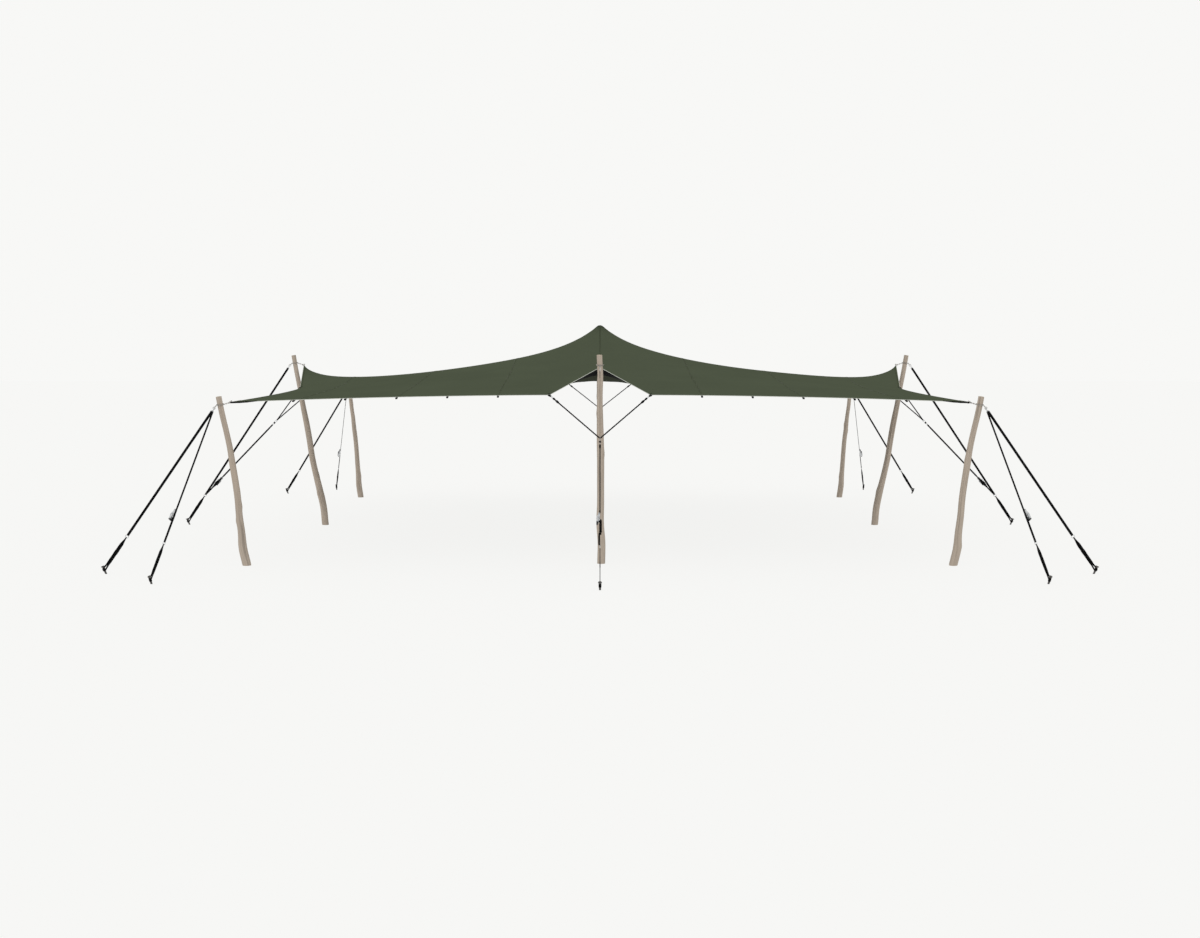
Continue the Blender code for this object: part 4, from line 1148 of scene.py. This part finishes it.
def ratchet_frame(metal, cloth, frame, spool_at):
    """Side plates, toothed wheels, slotted spool, pawl, spring plate and the wound webbing."""
    def across(x, y, z=0.0):
        return frame @ Matrix.Translation((x, y, z)) @ Matrix.Rotation(math.pi / 2, 4, "X")

    outline = rounded([(-0.080, 0.001), (0.046, 0.001), (0.050, 0.008), (0.050, 0.030), (0.040, 0.043),
                       (-0.022, 0.043), (-0.045, 0.026), (-0.076, 0.022), (-0.080, 0.016)], 0.006)
    teeth = [(x * (0.0215 if k % 2 else 0.0165), y * (0.0215 if k % 2 else 0.0165))
             for k, (x, y) in enumerate(circle(1.0, 26))]
    for side in (-1, 1):
        metal.plate(outline, 0.0028, across(spool_at, side * FRAME_HALF))
        metal.plate(teeth, 0.0026, across(spool_at, side * (FRAME_HALF + 0.0034), SPOOL_OFFSET))
    half = HANDLE_HALF + 0.0055
    metal.bar(at(frame, spool_at, -half, SPOOL_OFFSET), at(frame, spool_at, half, SPOOL_OFFSET), 0.0060, 14)
    for place in (-half, half):
        metal.ring(across(spool_at, place * 0.97, SPOOL_OFFSET), 0.0062, 0.0011, 14, 6)
    far = spool_at + BOLT_AT
    metal.bar(at(frame, far, -0.0262, BOLT_UP), at(frame, far, 0.0262, BOLT_UP), 0.0048, 12)
    for side in (-1, 1):
        metal.bar(at(frame, far, side * 0.0228, BOLT_UP), at(frame, far, side * 0.0268, BOLT_UP), 0.0075, 6)
    pawl = frame @ Matrix.Translation((spool_at + 0.026, 0, SPOOL_OFFSET + 0.004))
    metal.plate(rounded([(-0.004, -0.017), (0.024, -0.014), (0.024, 0.014), (-0.004, 0.017)], 0.003),
                0.0022, pawl @ Matrix.Rotation(0.35, 4, "Y"))
    spring = frame @ Matrix.Translation((spool_at, 0, 0.021)) @ Matrix.Rotation(-0.12, 4, "Y")
    tab_plate(metal, spring, -0.050, -0.026, 0.0195, 0.0022)
    coil = []
    for k in range(88):
        angle = 2 * math.pi * k / 20
        radius = 0.0074 + 0.0031 * angle / (2 * math.pi)
        coil.append(at(frame, spool_at - radius * math.sin(angle), 0,
                       SPOOL_OFFSET - radius * math.cos(angle)))
    cloth.sweep(coil, strap(WEBBING - 0.001, 0.0024), 0, frame.to_3x3() @ Vector((-1, 0, 0)))
    loop = []
    for k in range(13):
        angle = math.radians(-90 - 200 * k / 12)
        loop.append(at(frame, far + 0.0068 * math.cos(angle), 0, BOLT_UP + 0.0068 * math.sin(angle)))
    loop.append(at(frame, far + 0.010, 0, BOLT_UP + 0.004))
    cloth.sweep(loop, strap(0.030, 0.0024), 0, -upward(frame))


def make_handle(name, frame, spool_at, matrix):
    """The ratchet's handle: shaped arms, a pawl bar in their slot and a ribbed black grip."""
    hinge = frame @ Matrix.Translation((spool_at, 0, SPOOL_OFFSET)) @ Matrix.Rotation(-HANDLE_TILT, 4, "Y")
    upright = Matrix.Rotation(math.pi / 2, 4, "X")
    metal, rubber = Shape(), Shape()
    outline = rounded([(-0.018, -0.012), (0.020, -0.012), (0.050, -0.005), (0.087, 0.004),
                       (0.088, 0.020), (0.070, 0.024), (0.040, 0.021), (0.010, 0.024),
                       (-0.010, 0.024), (-0.018, 0.014)], 0.005)
    for side in (-1, 1):
        metal.plate(outline, 0.0028, hinge @ Matrix.Translation((0, side * HANDLE_HALF, 0)) @ upright)
    tab_plate(metal, hinge @ Matrix.Translation((0, 0, 0.008)), 0.040, 0.053, 0.0315, 0.0026)
    pawl = [(0.036, -0.028), (0.064, -0.028), (0.068, 0.0), (0.064, 0.028), (0.036, 0.028), (0.040, 0.0)]
    metal.plate(rounded(pawl, 0.004), 0.0020, hinge @ Matrix.Translation((0, 0, 0.0215)))
    profile = []
    for k in range(29):
        size = 0.0098 + (0.0009 if k % 2 else -0.0002) - (0.0025 if k in (0, 28) else 0.0)
        profile.append((size, -0.033 + 0.066 * k / 28))
    rubber.lathe(profile, hinge @ Matrix.Translation((GRIP_AT, 0, GRIP_UP)) @ upright, 18)
    body = "ratchet_handle_" + name
    handle = metal.build("handle_" + name, [ZINC], matrix, body)
    rubber.build("grip_" + name, [GRIP], matrix, body)
    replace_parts(handle, body)


def make_stake(name, ground, hook, matrix):
    """A driven steel stake: a worn shaft with a forged, mushroomed head."""
    axis = stake_axis(ground, hook)
    shape = Shape()
    top = STAKE_LENGTH
    shape.lathe([(STAKE_RADIUS - 0.0006, 0.004), (STAKE_RADIUS, 0.02), (STAKE_RADIUS, top - 0.022),
                 (0.0165, top - 0.016), (0.0240, top - 0.0135), (STAKE_HEAD_RADIUS, top - 0.010),
                 (0.0247, top - 0.004), (0.0225, top - 0.001), (0.014, top + 0.0002)],
                aimed(ground, axis), 24, 0, 0.05)
    for k in range(24):
        spot = shape.verts[k]
        shape.verts[k] = spot - axis * (spot.z / axis.z)
    thing = shape.build("driven_" + name, [IRON], matrix)
    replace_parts(thing, name)


def rope_run(shape, points, radius):
    """A three-strand rope: the section's lobes turn along the way."""
    length = sum((b - a).length for a, b in zip(points, points[1:]))
    count = max(2, int(length / 0.007))
    path = []
    for reach in steps(0, length, count):
        for a, b in zip(points, points[1:]):
            step = (b - a).length
            if reach <= step + 1e-9:
                path.append(a.lerp(b, min(1.0, reach / step)))
                break
            reach -= step
    section = []
    for k in range(12):
        angle = 2 * math.pi * k / 12
        size = radius * (0.89 + 0.11 * math.cos(3 * angle))
        section.append((size * math.cos(angle), size * math.sin(angle)))
    shape.sweep(path, section, twist=2 * math.pi / (radius * 11))


def carabiner(shape, start, end, side):
    """A steel snap link between two points, with its gate."""
    frame = line_frame(start, end, side)
    length = (end - start).length
    shape.link(frame @ Matrix.Translation((length / 2, 0, 0)), length + 0.008, 0.024, 0.0036, 0, 20, 8)
    shape.bar(at(frame, length * 0.28, 0.0120), at(frame, length * 0.72, 0.0120), 0.0048)


def bundle(cloth, frame):
    """Spare webbing, folded back and forth on the line and bound with two turns."""
    for level, share in zip((-0.74, -0.38, 0.0, 0.38, 0.74), (0.86, 0.96, 1.0, 0.95, 0.84)):
        path = [at(frame, x, 0.0012 * math.sin(k * 2.1 + level * 9), level * deep - BUNDLE_SHIFT)
                for k, (x, _, deep) in enumerate(BUNDLE_RUN)]
        sections = [ellipse(half * share, max(0.0022, deep * 0.185)) for _, half, deep in BUNDLE_RUN]
        cloth.sweep(path, sections, 0, upward(frame))
    for x, half, deep in BUNDLE_TURNS:
        turn = [at(frame, x, y, z - BUNDLE_SHIFT) for y, z in ellipse(half, deep, 20)]
        cloth.sweep(turn, circle(0.0024, 6), 0, frame.to_3x3() @ Vector((1, 0, 0)), closed=True)


def make_bridle(ring_at, side, spool_share):
    """One bridle's rope, webbing and metal shapes, with its line's frame and the ratchet's place on it."""
    junction = Vector(BRIDLE_JUNCTION)
    rope, cloth, metal = Shape(), Shape(), Shape()
    for along in (-BRIDLE_SIDE, BRIDLE_SIDE):
        hem = Vector((BRIDLE_OUT, along, BRIDLE_Z))
        way = (junction - hem).normalized()
        reach = (junction - hem).length

        def run(first, span, count):
            return [hem + way * distance for distance in steps(first, span, count)]

        inward = hem + Vector((-1, 0, 0.05)) * 0.07
        loop = [inward + Vector((0, 0, -0.006))]
        for k in range(9):
            angle = math.pi * (k / 8 - 0.5)
            ahead = way * (0.012 + 0.012 * math.cos(angle))
            loop.append(hem + ahead + Vector((0, 0, 0.007)) * math.sin(angle))
        loop.append(inward + Vector((0, 0, 0.012)))
        cloth.sweep(loop, strap(0.044), 0, (0, 0, -1))
        tab = [point - Vector((0, 0, 0.004)) for point in run(-0.012, 0.046, 4)]
        cloth.sweep(tab, [strap(wide, 0.008) for wide in (0.046, 0.044, 0.036, 0.028, 0.024)], 0, (1, 0, 1))
        carabiner(metal, hem + way * 0.030, hem + way * 0.086, (0, 1, 0))
        for first, last, size in ((0.076, 0.124, 0.0145), (0.142, 0.206, 0.0165)):
            cloth.tube(run(first, last - first, 8), [size * share for share in SLEEVE_SWELL], 2)
        rope_run(rope, [hem + way * 0.112, hem + way * (reach - 0.03)], BRIDLE_ROPE)
        cloth.tube(run(reach - 0.075, 0.068, 6), (0.0064, 0.0078, 0.0088, 0.0092, 0.0092, 0.0085, 0.006), 2)
    frame = line_frame(junction, ring_at, side)
    reach = (ring_at - junction).length
    spool_at = reach * spool_share
    eye_at = spool_at + BOLT_AT - 0.072
    metal.ring(Matrix.Translation(junction) @ Matrix.Rotation(math.pi / 2, 4, "X"), 0.015, 0.0038)
    carabiner(metal, at(frame, 0.008), at(frame, 0.052), side)
    cloth.tube([at(frame, x) for x in steps(0.046, 0.034, 8)], KNOT_SIZES, 2, 12)
    metal.link(frame @ Matrix.Translation((0.095, 0, 0)), 0.044, 0.022, 0.0036, 0, 20, 8)
    cloth.tube([at(frame, x) for x in steps(0.106, 0.075, 8)], LINE_SLEEVE_SIZES, 2)
    for aside in (-BRIDLE_LINE_ASIDE, BRIDLE_LINE_ASIDE):
        rope_run(rope, [at(frame, 0.168, aside * 0.6), at(frame, 0.20, aside),
                        at(frame, spool_at + BOLT_AT - 0.07, aside),
                        at(frame, spool_at + BOLT_AT - 0.03, aside * 0.6)], BRIDLE_LINE)
    eye = [at(frame, eye_at + 0.062 * k / 6, 0, 0.004 * k / 6) for k in range(7)]
    cloth.tube(eye, (0.008, 0.0095, 0.0105, 0.0105, 0.0105, 0.0095, 0.007), 2)
    end = reach - BRIDLE_TAIL
    strap_run(cloth, frame, spool_at, end - 0.02, WEBBING - 0.006)
    bundle(cloth, frame)
    ratchet_frame(metal, cloth, frame, spool_at)
    start, stop = at(frame, end - 0.040, 0, TAIL_START_ASIDE), at(frame, reach - 0.031, 0, TAIL_END_ASIDE)
    cloth.tube([start.lerp(stop, k / 6) for k in range(7)], TAIL_SIZES, 2, 12)
    return (rope, cloth, metal), frame, spool_at


def make_corners(trunks):
    hook = Vector(CORNER_HOOK)
    mirrors = {place: Matrix.Diagonal((*signs, 1.0, 1.0)) for place, signs in CORNERS.items()}
    for place, mirror in mirrors.items():
        chain = make_chain("links_" + place, trunks[place], at(mirror, CORNER_TIP, CORNER_TIP, CORNER_TIP_Z),
                           mirror @ hook, CORNER_CHAIN_Z, at(mirror, 1, -1, 0))
        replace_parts(chain, "chain_" + place)
    for label, stake, hand in (("side", CORNER_STAKE, 1), ("end", CORNER_STAKE[::-1], -1)):
        ground = Vector((*stake, 0))
        face = Vector((hook.y - ground.y, ground.x - hook.x, 0)).normalized() * hand
        ring_at = hook.lerp(ground + stake_axis(ground, hook) * STRAP_FOOT_Z, CORNER_RING_SHARE)
        names = [f"stay_{place}_{label}" for place in mirrors]
        make_stay(names, hook, ring_at, ground, face, label == "end", True, mirrors.values())
        spool_at = RATCHET_SHARE * (ground - hook).length
        for place, mirror in mirrors.items():
            make_stake(f"stake_{place}_{label}", ground, hook, mirror)
            if label == "end":
                make_handle(f"{place}_end", line_frame(hook, ring_at, face), spool_at, mirror)


def make_sides(trunks):
    hook, ground, ring_at = Vector(MIDDLE_HOOK), Vector((MIDDLE_STAKE, 0, 0)), Vector(MIDDLE_RING)
    face = Vector((0, -1, 0))
    turns = {place: Matrix.Rotation(order * math.pi / 2, 4, "Z") for order, place in enumerate(QUARTER_TURNS)}
    places = dict(turns, right=Matrix.Diagonal((1.0, -1.0, 1.0, 1.0)))
    names = [f"stay_{place}" for place in places]
    make_stay(names, hook, ring_at, ground, face, False, False, places.values())
    for share, pair in ((SIDE_BRIDLE_SHARE, ("right", "left")), (END_BRIDLE_SHARE, ("back", "front"))):
        (rope, cloth, metal), frame_at, spool_at = make_bridle(ring_at, face, share)
        for place in pair:
            line = rope.build(f"bridle_{place}_rope", [ROPE], places[place], slot="rope")
            cloth.build(f"bridle_{place}_webbing", [STRAP_AND_HEM_SHADE, STITCH, SLEEVE_AND_SHADE_BAND], places[place], slot="webbing")
            metal.build(f"bridle_{place}_fittings", [ZINC], places[place])
            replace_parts(line, "bridle_" + place)
            make_handle(place, frame_at, spool_at, places[place])
    for place, turn in turns.items():
        make_stake("stake_" + place, ground, hook, turn)
        chain = make_chain("links_" + place, trunks[place],
                           at(turn, MIDDLE_TIP, 0, MIDDLE_TIP_Z), turn @ hook,
                           MIDDLE_CHAIN_Z, turn @ face)
        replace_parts(chain, "chain_" + place)


# Stage

def make_stage():
    """Camera, soft light and a plain pale floor."""
    scene = bpy.context.scene
    scene.view_settings.view_transform = "Standard"
    camera = bpy.data.objects.new("camera", bpy.data.cameras.new("camera"))
    camera.data.lens = CAMERA_LENS
    camera.data.sensor_width = 36.0
    camera.data.clip_end = 400
    camera.location = CAMERA_PLACE
    camera.rotation_euler = (math.pi / 2 - CAMERA_PITCH, 0, 0)
    scene.camera = camera
    world = bpy.data.worlds.new("studio")
    world.use_nodes = True
    backdrop = world.node_tree.nodes["Background"].inputs
    backdrop["Color"].default_value = (*STUDIO_WHITE, 1)
    backdrop["Strength"].default_value = 0.992
    scene.world = world
    sun = bpy.data.objects.new("soft_key", bpy.data.lights.new("soft_key", "SUN"))
    sun.data.energy = 0.3
    sun.data.angle = math.radians(40)
    sun.rotation_euler = (math.radians(38), math.radians(-18), 0)
    paint = Paint("pale_floor", (0.055, 0.055, 0.0545), 0.9)
    paint.shader.inputs["Emission Color"].default_value = (*STUDIO_WHITE, 1)
    paint.shader.inputs["Emission Strength"].default_value = 0.925
    mesh = bpy.data.meshes.new("floor")
    corners = [(x * FLOOR_REACH, y * FLOOR_REACH, 0) for x, y in ((-1, -1), (1, -1), (1, 1), (-1, 1))]
    mesh.from_pydata(corners, [], [(0, 1, 2, 3)])
    mesh.materials.append(paint.gloss(0.0))
    floor = bpy.data.objects.new("floor", mesh)
    floor.location = (0, 0, -0.0008)
    for thing in (camera, sun, floor):
        scene.collection.objects.link(thing)


make_stage()
trunks = make_poles()
sheet = make_sheet()
seams, hems, loops = make_seams(), make_hem(), make_loops()
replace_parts(sheet, "canopy_left", "canopy_middle_left", "canopy_middle_right", "canopy_right")
make_corners(trunks)
make_sides(trunks)
for slot in frame["nodes"]["centre_pole_head"].material_slots:
    slot.material = WOOD
